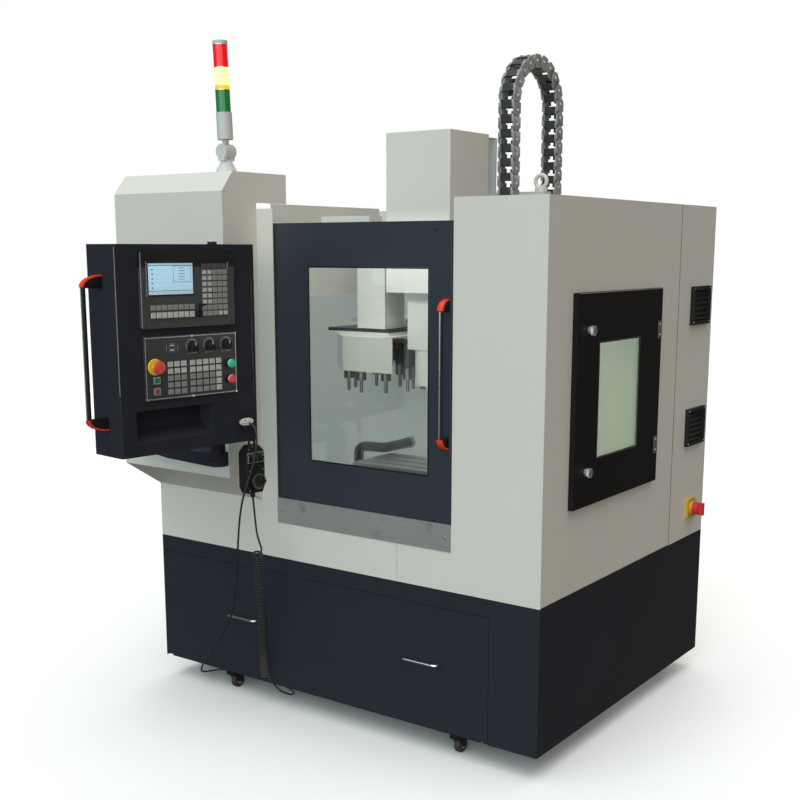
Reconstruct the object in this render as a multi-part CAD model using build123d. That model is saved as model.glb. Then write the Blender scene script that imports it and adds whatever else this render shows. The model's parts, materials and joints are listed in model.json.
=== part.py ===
from build123d import *
import os
from math import atan2, cos, degrees, pi, radians, sin, tan

# Vertical machining center with a full enclosure. Millimetres, +Z up.
# While it is built, X = 0 is the middle of the base, Y = 0 the plane of the
# front panels (the back is +Y) and Z = 0 the floor.

# Base and enclosure
base_width = 1659.0
base_depth = 1297.0
skirt_clear = 80.0
skirt_top = 567.0
skirt_sheet = 4.0
skirt_ledge = 46.0
seam_from_front = 228.0
seam_width = 3.0
seam_depth = 2.0
wall_top = 1805.0
sheet = 3.0
top_return = 26.0
right_panel_width = 326.0
panel_return = 34.0
post_width = 72.0
post_top = 1785.0
apron_top = 697.0
apron_width = 217.0
sill_top = 787.0
sill_sheet = 2.0
overrun = 6.0
run_gap = 0.5
fit_gap = 1.5

# Magazine bay
bay_width = 527.0
bay_reach = 165.0
bay_floor = 770.0
bay_slope_top = 873.0
bay_face_top = 1840.0
bay_top = 1905.0
bay_chamfer = 53.0
bay_tail = 155.0
partition_bottom = 1480.0
partition_top = 1804.0
partition_start = 75.0

# Coolant tank
tank_right_gap = 180.0
tank_face_top = 508.0
tank_face_bottom = 86.0
tank_face_sheet = 3.0
tank_depth = 330.0
tank_wall_top = 420.0
tank_sheet = 3.0
tank_side_gap = 26.0
tank_stop = 18.0
handle_left_inset = 426.0
handle_right_inset = 250.0
handle_height = 316.0
bow_length = 140.0
bow_standoff = 32.0
bow_radius = 5.0

# Casters
wheel_radius = 27.0
wheel_width = 22.0
wheel_bore = 4.0
wheel_groove = 2.5
caster_trail = 20.0
caster_left_inset = 315.5
caster_right_inset = 139.5
caster_front = 42.0
caster_back = 282.0
fork_sheet = 4.0
fork_length = 44.0
fork_height = 60.0
fork_side_gap = 2.0
swivel_radius = 18.0
swivel_height = 6.0
caster_plate = 4.0
caster_plate_size = 62.0

# Base casting, column and feet
bed_bottom = 112.0
bed_top = 640.0
bed_half = 270.0
bed_front = 130.0
bed_nose = 80.0
bed_leg_gap = 42.0
bed_leg_top = 470.0
bed_back_gap = 10.0
bed_foot_half = 350.0
bed_foot_height = 45.0
bed_pocket_inset = 70.0
bed_pocket_depth = 60.0
rail_width = 34.0
rail_height = 28.0
y_rail_half = 150.0
y_rail_front = 150.0
y_rail_back_gap = 32.0
foot_radius = 46.0
foot_height = 20.0
foot_stud_radius = 12.0
foot_inset = 60.0
column_half = 170.0
column_room = 253.0
column_taper = 14.0
column_top_depth = 230.0
column_top = 1852.0
z_rail_half = 95.0
z_rail_depth = 22.0
z_rail_bottom = 1000.0
z_rail_top_gap = 20.0
eye_ring = 22.0
eye_wire = 7.0
eye_collar_radius = 22.0
eye_collar_height = 14.0
eye_reach = 250.0
ear_depth = 50.0
ear_height = 60.0
ear_rim = 5.0

# Saddle and table
spindle_share = 0.55
saddle_half = 190.0
saddle_depth = 270.0
saddle_top = 812.0
saddle_web = 60.0
table_top = 880.0
table_length = 700.0
table_depth = 240.0
table_shift = 83.0
slot_pitch = 70.0
slot_width = 14.0
slot_head = 24.0
slot_head_height = 10.0
slot_neck = 14.0
gib_half = 60.0

# Spindle head
head_half = 62.0
head_nose = 60.0
head_bottom = 1300.0
head_top = 1560.0
head_slide_half = 125.0
head_slide_depth = 77.0
head_slide_bottom = 1240.0
head_slide_top = 1780.0
quill_radius = 58.0
quill_bottom = 1172.0
spindle_radius = 40.0
spindle_nose = 14.0
spindle_flange = 8.0
taper_mouth = 16.0
taper_top = 9.0
taper_depth = 60.0
spindle_length = 90.0
cover_half = 133.0
cover_reach = 95.0
cover_front_share = 0.782
cover_bottom = 1500.0
cover_top = 2043.0
cover_back_step = 8.0
cover_round = 6.0

# Drag chain
chain_width = 64.0
chain_height = 44.0
chain_side = 5.0
chain_bar = 4.0
chain_bend = 153.0
chain_top = 2315.0
chain_front_gap = 181.0
chain_right_gap = 122.0
chain_front_end = 1700.0
chain_bend_links = 10
chain_bracket = 10.0
chain_bracket_depth = 30.0
chain_bar_low_share = 0.19
chain_bar_share = 0.72
chain_tail_share = 0.9
chain_rib = 8.0
chain_end_share = 0.3

# Tool magazine
carousel_gap = 104.0
tool_circle = 120.0
tool_count = 8
holder_radius = 26.0
holder_top = 1312.0
holder_bottom = 1240.0
collet_radius = 18.0
collet_bottom = 1185.0
cutter_radius = 6.0
cutter_bottom = 1140.0
disc_radius = 122.0
disc_bottom = 1306.0
disc_thick = 14.0
disc_hub = 34.0
mag_cover_half = 172.0
mag_cover_bottom = 1222.0
mag_cover_top = 1345.0
mag_cover_right = 49.0
mag_cover_clear = 20.0
mag_cover_corner = 128.0
mag_sheet = 3.0
mag_plate = 20.0
mag_plate_left = 200.0
drive_half = 62.0
drive_depth = 120.0
drive_top = 1620.0
arm_thick = 18.0
arm_drive_gap = 20.0
arm_lug = 110.0
arm_rail = 12.0
arm_rail_width = 30.0

# Chip tray, splash guard and hose
tray_rim = 745.0
tray_floor = 628.0
guard_gap = 20.0
guard_top = 1790.0
hose_radius = 19.0
hose_reach = 120.0
hose_rise = 230.0
hose_bend = 58.0
hose_x = 404.0
hose_from_guard = 182.0
hose_collar = 25.0
hose_collar_height = 20.0

# Front door
door_right_gap = 12.0
door_left_lap = 40.0
door_bottom = 765.0
door_top = 1736.0
door_front = 10.0
door_thick = 30.0
door_sheet = 3.0
window_left = 186.0
window_right = 84.0
window_low = 168.0
window_high = 143.0
window_round = 8.0
glass_thick = 6.0
glass_lap = 14.0
glass_gap = 0.2
guide_gap = 3.0
guide_height = 36.0
guide_depth = 20.0
guide_drop = 44.0
guide_shoe = 26.0
lamp_past_spindle = 12.5
lamp_width = 200.0
lamp_depth = 70.0
lamp_height = 46.0

# Door and console bow handles
grip_from_edge = 15.0
grip_top = 1489.0
grip_bottom = 1037.0
grip_standoff = 36.0
grip_radius = 8.0
cap_width = 26.0
cap_foot = 40.0
cap_tip = 20.0
console_grip_top = 1566.0
console_grip_bottom = 1119.0
console_grip_standoff = 62.0

# Side door
side_door_front = 163.0
side_door_back_gap = 185.0
side_door_bottom = 848.0
side_door_top = 1520.0
side_door_thick = 18.0
side_door_lap = 26.0
side_window_inset_front = 151.0
side_window_inset_back = 174.0
side_window_bottom = 993.0
side_window_top = 1364.0
knuckle_radius = 7.0
knuckle_length = 28.0
knuckle_upper = 1378.0
knuckle_lower = 977.0
knuckle_offset = 9.0
lock_inset = 79.0
lock_upper = 1404.0
lock_lower = 959.0
lock_radius = 13.0
lock_body = 8.0
lock_wing_length = 30.0
lock_wing_width = 7.0
lock_wing_height = 12.0
lock_shank_radius = 6.0
lock_cam_length = 42.0
lock_cam_width = 14.0
lock_cam_sheet = 3.0
lock_cam_gap = 2.0

# Electrical cabinet
cabinet_depth = 322.0
cabinet_sheet = 3.0
cabinet_door_thick = 18.0
cabinet_door_width = 800.0
cabinet_flange = 30.0
cabinet_hinge_radius = 6.0
cabinet_hinge_length = 60.0
cabinet_hinge_inset = 200.0
vent_width = 166.0
vent_height = 140.0
vent_depth = 14.0
vent_rim = 14.0
vent_slats = 6
vent_slat_sheet = 3.0
vent_slat_tilt = 35.0
vent_from_back = 130.0
vent_upper = 1446.0
vent_lower = 994.0
switch_from_back = 134.0
switch_height = 678.0
switch_plate = 74.0
switch_plate_thick = 10.0
switch_collar = 27.0
switch_collar_length = 10.0
switch_knob_radius = 24.0
switch_knob_length = 20.0
switch_bar_width = 14.0
switch_bar_length = 18.0

# Console, built facing the front and then swung about its pivot
console_swing = 82.3
console_pivot_side = 73.0
console_pivot_reach = 126.0
console_width = 525.0
console_far = 110.0
console_depth = 150.0
console_bottom = 1028.0
console_top = 1665.0
console_round = 6.0
console_cap_radius = 15.0
console_cap_height = 8.0
controller_left = 80.0
controller_width = 352.0
controller_bottom = 1414.0
controller_height = 230.0
controller_thick = 10.0
screen_left = 28.0
screen_width = 166.0
screen_low = 100.0
screen_height = 95.0
screen_recess = 4.0
screen_thick = 2.0
key_thick = 2.5
pad_left = 224.0
pad_low = 30.0
pad_width = 100.0
pad_height = 163.0
soft_left = 31.0
soft_low = 28.0
soft_width = 164.0
soft_height = 45.0
panel_left = 87.0
panel_width = 352.0
panel_bottom = 1195.0
panel_height = 195.0
panel_thick = 6.0
knob_first = 176.0
knob_pitch = 66.5
knob_low = 159.0
knob_radius = 13.0
knob_length = 18.0
knob_skirt_radius = 16.0
knob_skirt = 4.0
button_left = 318.0
start_low = 96.0
stop_low = 46.0
button_radius = 12.0
button_length = 12.0
button_collar = 15.0
button_collar_height = 5.0
button_stem = 7.0
estop_left = 36.0
estop_low = 103.0
estop_radius = 21.0
estop_length = 24.0
estop_disc = 25.0
estop_disc_height = 4.0
square_left = 40.0
square_size = 22.0
square_lows = (61.5, 28.0)
square_height = 6.0
block_left = 80.0
block_low = 12.0
block_width = 76.0
block_height = 106.0
block_gap = 8.0
block_two_width = 127.0
tray_left = 55.0
tray_width = 289.0
tray_low = 37.0
tray_high = 139.0
tray_depth = 70.0
socket_left = 458.0
socket_low = 63.0
socket_radius = 17.0
socket_stretch = 26.0
socket_length = 22.0
bracket_left = 139.0
bracket_width = 292.0
bracket_low = 945.0
bracket_thick = 43.0
bracket_plate = 6.0
bracket_plate_low = 930.0
bracket_plate_high = 1015.0
bracket_hub = 34.0
bracket_post = 22.0
bracket_throat_share = 0.62

# Handwheel pendant, hung under the far end of the console
pendant_from_far = 18.0
pendant_forward = 62.0
pendant_width = 78.0
pendant_depth = 42.0
pendant_bottom = 850.0
pendant_top = 1010.0
pendant_shoulder = 22.0
pendant_neck = 10.0
dial_low = 42.0
dial_radius = 28.0
dial_height = 12.0
dial_boss = 20.0
dial_boss_height = 3.0
selector_radius = 9.0
selector_height = 10.0
selector_pitch = 36.0
selector_low = 120.0
relief_radius = 8.0
relief_length = 16.0
hook_wire = 5.0
hook_width = 28.0

# Pendant cord
cord_radius = 3.3
cord_arc_share = 0.45
curl_radius = 18.0

# Stack light
light_x = 115.0
light_y = 20.0
light_lean = 2.5
light_foot_radius = 37.0
light_foot_height = 6.0
light_stem_radius = 15.0
light_joint_z = 1978.0
light_joint_radius = 25.0
light_cheek = 12.0
light_joint_gap = 0.5
light_neck_radius = 11.0
light_body_low = 40.0
light_body_radius = 27.0
light_body_height = 89.0
light_lens_radius = 25.5
light_lens_height = 72.0
light_lens_gap = 2.0
light_cap_height = 12.0
light_lens_count = 3

# Places worked out from the sizes above
x_left = -base_width / 2
x_right = base_width / 2
x_bay = x_left + bay_width
x_open_left = x_bay + post_width
x_open_right = x_right - right_panel_width
x_spindle = (x_open_left + x_open_right) / 2
x_seam = x_open_right - apron_width
y_cabinet = base_depth - cabinet_depth
y_door_back = door_front + door_thick
y_guide_back = y_door_back + guide_gap + guide_depth
column_front = y_cabinet - column_room
spindle_y = y_guide_back + (column_front - y_guide_back) * spindle_share
bed_leg_front = tank_depth + bed_leg_gap
bed_back = y_cabinet - bed_back_gap
y_rail_back = column_front - y_rail_back_gap
head_front = spindle_y - head_nose
head_slide_front = column_front - head_slide_depth
cover_front = spindle_y - cover_reach
cover_depth = (head_slide_front - cover_front) * cover_front_share
chain_front = column_front - chain_front_gap
arm_front = spindle_y + drive_depth / 2 + arm_drive_gap
guard_y = column_front - guard_gap
hose_y = guard_y - hose_from_guard
side_door_back = y_cabinet - side_door_back_gap
side_window_front = side_door_front + side_window_inset_front
side_window_back = side_door_back - side_window_inset_back
lock_y = side_door_front + lock_inset
x_tank_left = x_left + skirt_sheet + fit_gap
x_tank_right = x_right - tank_right_gap - fit_gap
x_carousel = x_spindle - carousel_gap - tool_circle
x_pivot = x_bay + console_pivot_side
y_pivot = -bay_reach - console_pivot_reach
chain_out = chain_bend + chain_height / 2
chain_axis_y = chain_front + chain_out
chain_axis_z = chain_top - chain_out
x_chain = x_spindle + cover_half + chain_right_gap
chain_pitch = 2 * chain_bend * tan(pi / chain_bend_links / 2)
chain_high = chain_axis_z + chain_pitch / 2
chain_straight = int((chain_high - chain_front_end) / chain_pitch)
chain_low = chain_high - chain_straight * chain_pitch
chain_tail = (chain_height / 2 - chain_bar) * chain_tail_share
chain_tip = chain_height / 2 * chain_end_share
axle_z = wheel_radius
x_door_left = x_open_left - door_left_lap
x_door_right = x_open_right - door_right_gap
x_light = x_bay - light_x
x_hose = x_spindle - hose_x
x_mag_right = x_spindle - head_slide_half - mag_cover_clear
tray_slope_share = (hose_x - bed_half) / (x_spindle - bed_half - x_left)
hose_seat = tray_floor + (tray_rim - tray_floor) * tray_slope_share + hose_collar_height
y_light = -light_y
x_knuckle = x_right + knuckle_radius + run_gap
y_cabinet_joint = base_depth - cabinet_door_thick
x_cabinet_hinge = x_left - cabinet_hinge_radius - run_gap


def block(x0, x1, y0, y1, z0, z1):
    """Box between two corners."""
    return Pos((x0 + x1) / 2, (y0 + y1) / 2, (z0 + z1) / 2) * Box(x1 - x0, y1 - y0, z1 - z0)


def drum(x, y, z0, z1, radius):
    """Upright cylinder."""
    return Pos(x, y, (z0 + z1) / 2) * Cylinder(radius, z1 - z0)


def rod_x(x0, x1, y, z, radius):
    """Cylinder along X."""
    return Pos((x0 + x1) / 2, y, z) * Rot(0, 90, 0) * Cylinder(radius, x1 - x0)


def rod_y(x, y0, y1, z, radius):
    """Cylinder along Y."""
    return Pos(x, (y0 + y1) / 2, z) * Rot(90, 0, 0) * Cylinder(radius, y1 - y0)


def prism_x(points, x0, x1):
    """Outline in Y and Z, extruded along X."""
    face = make_face(Plane.YZ * Polyline(points, close=True))
    return Pos(x0, 0, 0) * extrude(face, x1 - x0, dir=(1, 0, 0))


def prism_y(points, y0, y1):
    """Outline in X and Z, extruded along Y."""
    face = make_face(Polyline([(x, 0, z) for x, z in points], close=True))
    return Pos(0, y0, 0) * extrude(face, y1 - y0, dir=(0, 1, 0))


def prism_z(points, z0, z1):
    """Outline in X and Y, extruded along Z."""
    face = make_face(Polyline(points, close=True))
    return Pos(0, 0, z0) * extrude(face, z1 - z0, dir=(0, 0, 1))


def turned(points):
    """Outline of radius and height, revolved about Z."""
    face = make_face(Polyline([(r, 0, z) for r, z in points], close=True))
    return revolve(face, Axis.Z)


def base_skirt():
    """Folded charcoal skirt with a ledge on top and a mouth for the tank."""
    skirt = block(x_left, x_right, 0, base_depth, skirt_clear, skirt_top)
    skirt -= block(x_left + skirt_sheet, x_right - skirt_sheet, skirt_sheet, base_depth - skirt_sheet,
                   skirt_clear - overrun, skirt_top - skirt_sheet)
    skirt -= block(x_left + skirt_ledge, x_right - skirt_ledge, skirt_ledge, base_depth - skirt_ledge,
                   skirt_clear, skirt_top + overrun)
    skirt -= block(x_left + skirt_sheet, x_right - tank_right_gap, -overrun, skirt_sheet + overrun,
                   skirt_clear - overrun, tank_face_top)
    x_stop = x_right - tank_right_gap
    skirt += block(x_stop - tank_stop, x_stop + skirt_sheet, tank_face_sheet, tank_face_sheet + skirt_sheet,
                   skirt_clear, tank_face_top)
    return skirt - block(x_right - seam_depth, x_right + overrun, seam_from_front,
                         seam_from_front + seam_width, skirt_clear - overrun, skirt_top - skirt_sheet)


def levelling_feet():
    """Four turned feet with studs that carry the base casting."""
    feet = []
    for side in (-1, 1):
        for y in (bed_leg_front + foot_inset, bed_back - foot_inset):
            profile = [(0, 0), (foot_radius, 0), (foot_radius, foot_height / 2),
                       (foot_stud_radius, foot_height), (foot_stud_radius, bed_bottom), (0, bed_bottom)]
            feet.append(Pos(x_spindle + side * (bed_foot_half - foot_inset), y, 0) * turned(profile))
    return feet


def base_casting():
    """Cast bed: a leg block with a nose over the tank, side pockets, a foot flange and two Y rails."""
    side = [(bed_leg_front, bed_bottom), (bed_back, bed_bottom), (bed_back, bed_top), (bed_front, bed_top),
            (bed_front, bed_top - bed_nose), (bed_leg_front, bed_leg_top)]
    bed = prism_x(side, x_spindle - bed_half, x_spindle + bed_half)
    bed += block(x_spindle - bed_foot_half, x_spindle + bed_foot_half, bed_leg_front, bed_back,
                 bed_bottom, bed_bottom + bed_foot_height)
    middle = (bed_leg_front + bed_back) / 2
    for hand in (-1, 1):
        wall = x_spindle + hand * bed_half
        inner = wall - hand * bed_pocket_depth
        outer = wall + hand * overrun
        for y0, y1 in ((bed_leg_front + bed_pocket_inset, middle - bed_pocket_inset / 2),
                       (middle + bed_pocket_inset / 2, bed_back - bed_pocket_inset)):
            bed -= block(min(inner, outer), max(inner, outer), y0, y1,
                         bed_bottom + bed_foot_height + bed_pocket_inset / 2, bed_leg_top)
        rail = x_spindle + hand * y_rail_half
        bed += block(rail - rail_width / 2, rail + rail_width / 2, y_rail_front, y_rail_back,
                     bed_top, bed_top + rail_height)
    return bed


def column():
    """Cast column, tapered at the back, with two Z rails, lifting ears and the chain's seat."""
    y_top = column_front + column_top_depth
    side = [(column_front, bed_top), (y_top + column_taper, bed_top), (y_top, column_top),
            (column_front, column_top)]
    post = prism_x(side, x_spindle - column_half, x_spindle + column_half)
    for hand in (-1, 1):
        rail = x_spindle + hand * z_rail_half
        post += block(rail - rail_width / 2, rail + rail_width / 2, column_front - z_rail_depth, column_front,
                      z_rail_bottom, column_top - z_rail_top_gap)
    reach = eye_reach + eye_collar_radius + ear_rim
    post += block(x_spindle - reach, x_spindle + reach, column_front, column_front + ear_depth,
                  column_top - ear_height, column_top)
    seat = chain_low - chain_tail
    y = chain_axis_y + chain_bend
    return post + block(x_spindle + column_half, x_chain, y - chain_height / 2, y + chain_height / 2,
                        seat - chain_bracket, seat)


def lifting_eyebolts():
    """Two eyebolts on the column's ears, each a ring on a collar."""
    bolts = []
    y = column_front + ear_depth / 2
    ring_z = column_top + eye_collar_height + eye_ring
    for hand in (-1, 1):
        x = x_spindle + hand * eye_reach
        ring = Pos(x, y, ring_z) * Rot(90, 0, 0) * Torus(eye_ring, eye_wire)
        bolts.append(ring + drum(x, y, column_top, column_top + eye_collar_height, eye_collar_radius))
    return bolts


def saddle():
    """Saddle that rides the Y rails, relieved between them."""
    low = bed_top + rail_height + run_gap
    y0 = spindle_y - saddle_depth / 2
    body = block(x_spindle - saddle_half, x_spindle + saddle_half, y0, y0 + saddle_depth, low, saddle_top)
    relief = y_rail_half - rail_width
    return body - block(x_spindle - relief, x_spindle + relief, y0 - overrun, y0 + saddle_depth + overrun,
                        low - overrun, saddle_top - saddle_web)


def tee_slot(y):
    """Section of one T-slot, cut from the table's top."""
    neck = slot_width / 2
    head = slot_head / 2
    step = table_top - slot_neck
    floor = step - slot_head_height
    return [(y - neck, table_top + overrun), (y - neck, step), (y - head, step), (y - head, floor),
            (y + head, floor), (y + head, step), (y + neck, step), (y + neck, table_top + overrun)]


def table():
    """Table with three T-slots along X and a guide keel under it."""
    x0 = x_spindle + table_shift - table_length / 2
    x1 = x0 + table_length
    low = saddle_top + run_gap
    deck = table_top - slot_neck - slot_head_height - slot_head_height
    half = table_depth / 2
    outline = [(spindle_y - gib_half, low), (spindle_y + gib_half, low), (spindle_y + gib_half, deck),
               (spindle_y + half, deck), (spindle_y + half, table_top), (spindle_y - half, table_top),
               (spindle_y - half, deck), (spindle_y - gib_half, deck)]
    top = prism_x(outline, x0, x1)
    for step in (-1, 0, 1):
        top -= prism_x(tee_slot(spindle_y + step * slot_pitch), x0 - overrun, x1 + overrun)
    return top


def spindle_head():
    """Head casting: slide block on the Z rails, an arm forward and the bored quill housing."""
    slide_back = column_front - z_rail_depth - run_gap
    head = block(x_spindle - head_slide_half, x_spindle + head_slide_half, head_slide_front, slide_back,
                 head_slide_bottom, head_slide_top)
    arm = [(head_front, head_bottom), (head_slide_front, head_slide_bottom), (head_slide_front, head_top),
           (head_front, head_top)]
    head += prism_x(arm, x_spindle - head_half, x_spindle + head_half)
    head += drum(x_spindle, spindle_y, quill_bottom, head_bottom + quill_radius, quill_radius)
    seat = chain_low - chain_height / 2
    near, far = x_chain - chain_width, x_spindle + head_slide_half
    y0, y1 = head_slide_front + run_gap, head_slide_front + chain_bracket_depth
    outline = [(far, y0), (near, y0), (near, chain_front), (x_chain, chain_front), (x_chain, y1), (far, y1)]
    head += prism_z(outline, seat - chain_bracket, seat)
    bore = spindle_radius + run_gap
    return head - drum(x_spindle, spindle_y, quill_bottom - overrun,
                       quill_bottom + spindle_length + run_gap, bore)


def head_cover():
    """Tall sheet cover over the head's motor, with a narrower rear part."""
    y_back = cover_front + cover_depth
    front = block(x_spindle - cover_half, x_spindle + cover_half, cover_front, y_back, cover_bottom, cover_top)
    front = fillet(front.edges().filter_by(Axis.Z).group_by(Axis.Y)[0], cover_round)
    slim = cover_half - cover_back_step
    rear = block(x_spindle - slim, x_spindle + slim, y_back, head_slide_front,
                 head_top, cover_top - cover_back_step)
    cover = front + rear
    cover -= block(x_spindle - slim, x_spindle + slim, cover_front + cover_back_step,
                   head_slide_front - cover_back_step, cover_bottom - overrun,
                   cover_top - cover_back_step - sheet)
    lip = block(x_spindle - slim, x_spindle + slim, cover_front + cover_back_step, y_back, head_top,
                head_top + sheet)
    return cover + lip


def spindle():
    """Spindle with a flanged nose and a tapered socket."""
    low = quill_bottom - spindle_nose
    profile = [(taper_mouth, low), (spindle_radius, low), (spindle_radius, quill_bottom + spindle_length),
               (0, quill_bottom + spindle_length), (0, low + taper_depth), (taper_top, low + taper_depth)]
    nose = Pos(x_spindle, spindle_y, 0) * turned(profile)
    key = block(x_spindle + taper_mouth, x_spindle + spindle_radius, spindle_y - spindle_flange / 2,
                spindle_y + spindle_flange / 2, low - spindle_flange / 2, low)
    return nose + key


def chain_link(pitch):
    """One link about its front pin, running along +Z: cranked side plates and two bars with a middle rib."""
    half = chain_height / 2
    tip = chain_tip
    inner = chain_width / 2 - chain_side
    end = pitch - half - run_gap
    tail_low = half - chain_bar + run_gap
    plate = [(-half, -tip), (-tip, -half), (tip, -half), (half, -tip), (half, end), (-half, end)]
    tail = [(-chain_tail, tail_low), (chain_tail, tail_low), (chain_tail, pitch + tip), (tip, pitch + chain_tail),
            (-tip, pitch + chain_tail), (-chain_tail, pitch + tip)]
    link = None
    for hand in (-1, 1):
        out0, out1 = sorted((hand * inner, hand * chain_width / 2))
        in0, in1 = sorted((hand * (inner - chain_side), hand * (inner - run_gap / 2)))
        web0, web1 = sorted((hand * (inner - chain_side), hand * chain_width / 2))
        side = prism_x(plate, out0, out1) + prism_x(tail, in0, in1)
        side += block(web0, web1, -half, half, tail_low, end)
        link = side if link is None else link + side
    low, high = pitch * chain_bar_low_share, pitch * chain_bar_share
    wide = inner - run_gap / 2
    rib = chain_rib / 2
    bar = [(-wide, low), (wide, low), (wide, high), (rib, high), (rib, pitch), (-rib, pitch), (-rib, high),
           (-wide, high)]
    for y0, y1 in ((-half, chain_bar - half), (half - chain_bar, half)):
        link += prism_y(bar, y0, y1)
    return link


def z_drag_chain():
    """Cable chain: up from the head, round a half circle and down to the column's bracket."""
    pitch = chain_pitch
    link = chain_link(pitch)
    middle_x = x_chain - chain_width / 2
    links = []
    for step in range(chain_straight):
        z = chain_high - step * pitch
        links.append(Pos(middle_x, chain_axis_y - chain_bend, z - pitch) * link)
        links.append(Pos(middle_x, chain_axis_y + chain_bend, z) * Rot(180, 0, 0) * link)
    turn = 180 / chain_bend_links
    reach = chain_bend / cos(radians(turn / 2))
    for step in range(1, chain_bend_links):
        angle = radians(180 - turn * (step - 0.5))
        y = chain_axis_y + reach * cos(angle)
        z = chain_axis_z + reach * sin(angle)
        links.append(Pos(middle_x, y, z) * Rot(-turn * step, 0, 0) * link)
    return links


def magazine_carriage():
    """Sliding part of the magazine: faceted cover open to the spindle, carrier plate and drive housing."""
    right = x_spindle - mag_cover_right
    corner = x_carousel - mag_cover_half + mag_cover_corner
    y0 = spindle_y - mag_cover_half
    y1 = spindle_y + mag_cover_half
    left = x_carousel - mag_cover_half
    outline = [(right, y0), (corner, y0), (left, y0 + mag_cover_corner), (left, y1 - mag_cover_corner),
               (corner, y1), (right, y1)]
    shell = prism_z(outline, mag_cover_bottom, mag_cover_top)
    inset = mag_sheet
    slope = inset * tan(radians(45) / 2)
    inside = [(right + overrun, y0 + inset), (corner + slope, y0 + inset),
              (left + inset, y0 + mag_cover_corner + slope), (left + inset, y1 - mag_cover_corner - slope),
              (corner + slope, y1 - inset), (right + overrun, y1 - inset)]
    shell -= prism_z(inside, mag_cover_bottom - overrun, mag_cover_top - mag_sheet)
    shell -= block(x_spindle - head_half - mag_cover_clear, right + overrun, y0 + mag_sheet, y1 + overrun,
                   mag_cover_bottom - overrun, mag_cover_top + overrun)
    plate_top = mag_cover_top + mag_plate
    shell += block(x_carousel - mag_plate_left, x_mag_right, spindle_y - drive_depth / 2,
                   arm_front + arm_lug, mag_cover_top, plate_top)
    shell += block(x_carousel - drive_half, x_carousel + drive_half, spindle_y - drive_depth / 2,
                   spindle_y + drive_depth / 2, plate_top, drive_top)
    return shell


def tool_carousel():
    """Indexing disc on its hub, with the tools hanging in it."""
    disc = drum(x_carousel, spindle_y, disc_bottom, disc_bottom + disc_thick, disc_radius)
    disc += drum(x_carousel, spindle_y, disc_bottom, mag_cover_top - mag_sheet - run_gap, disc_hub)
    profile = [(0, cutter_bottom), (cutter_radius, cutter_bottom), (cutter_radius, collet_bottom),
               (collet_radius, collet_bottom), (collet_radius, holder_bottom), (holder_radius, holder_bottom),
               (holder_radius, holder_top), (0, holder_top)]
    tool = turned(profile)
    for step in range(tool_count):
        angle = 2 * pi * step / tool_count
        disc += Pos(x_carousel + tool_circle * cos(angle), spindle_y + tool_circle * sin(angle), 0) * tool
    return disc


def magazine_arm():
    """Arm from the column's left side, with the rail that the carriage hangs on."""
    x0 = x_carousel - mag_plate_left
    x1 = x_spindle - column_half
    low = mag_cover_top + mag_plate + run_gap + arm_rail
    arm = block(x0, x1, arm_front, column_front + arm_lug, low, low + arm_thick)
    arm += block(x1 - arm_thick, x1, column_front, column_front + arm_lug, low, low + arm_lug)
    y_rail = arm_front + arm_lug / 2
    return arm + block(x0, x_mag_right, y_rail - arm_rail_width / 2, y_rail + arm_rail_width / 2,
                       low - arm_rail, low)


def chip_tray():
    """Sloped chip tray from the walls down to the bed, open round the bed."""
    x0, x1 = x_left + sheet, x_right - sheet
    y0 = y_guide_back
    inner0, inner1 = x_spindle - bed_half - fit_gap, x_spindle + bed_half + fit_gap
    floor_y = bed_front - fit_gap

    def pan(lift):
        edge = Polyline([(x0, y0), (x1, y0), (x1, guard_y), (x0, guard_y)], close=True)
        rim = Pos(0, 0, tray_rim + lift) * make_face(edge)
        low = Pos(0, 0, tray_floor + lift) * make_face(Polyline([(inner0, floor_y), (inner1, floor_y),
                                                                 (inner1, guard_y), (inner0, guard_y)],
                                                                close=True))
        return loft([low, rim])

    tray = pan(0) - pan(sheet)
    tray -= block(inner0, inner1, floor_y, guard_y + overrun, tray_floor - overrun, tray_rim + overrun)
    return tray + drum(x_hose, hose_y, hose_seat - hose_collar_height - sheet, hose_seat, hose_collar)


def splash_guard():
    """Rear wall of the work room, with a slot for the column and a mouth for the magazine arm."""
    low = bed_top
    guard = block(x_left + sheet, x_right - sheet, guard_y, guard_y + sheet, low, guard_top)
    guard -= block(x_spindle - column_half - fit_gap, x_spindle + column_half + fit_gap, guard_y - overrun,
                   guard_y + overrun, low - overrun, guard_top + overrun)
    arm_low = mag_cover_top
    return guard - block(x_carousel - mag_plate_left - mag_plate, x_spindle, guard_y - overrun,
                         guard_y + overrun, arm_low, arm_low + mag_plate + arm_rail + arm_thick + arm_lug)


def drain_hose():
    """Elbow of ribbed hose from the chip tray's floor over to the splash guard, with a collar at each end."""
    high = hose_seat + hose_rise
    x_end = x_hose + hose_reach
    path = FilletPolyline([(x_hose, hose_y, hose_seat), (x_hose, hose_y, high), (x_end, hose_y, high),
                           (x_end, guard_y, high)], radius=hose_bend)
    section = Plane(origin=(x_hose, hose_y, hose_seat), z_dir=(0, 0, 1)) * Circle(hose_radius)
    return sweep(section, path=path)


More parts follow.
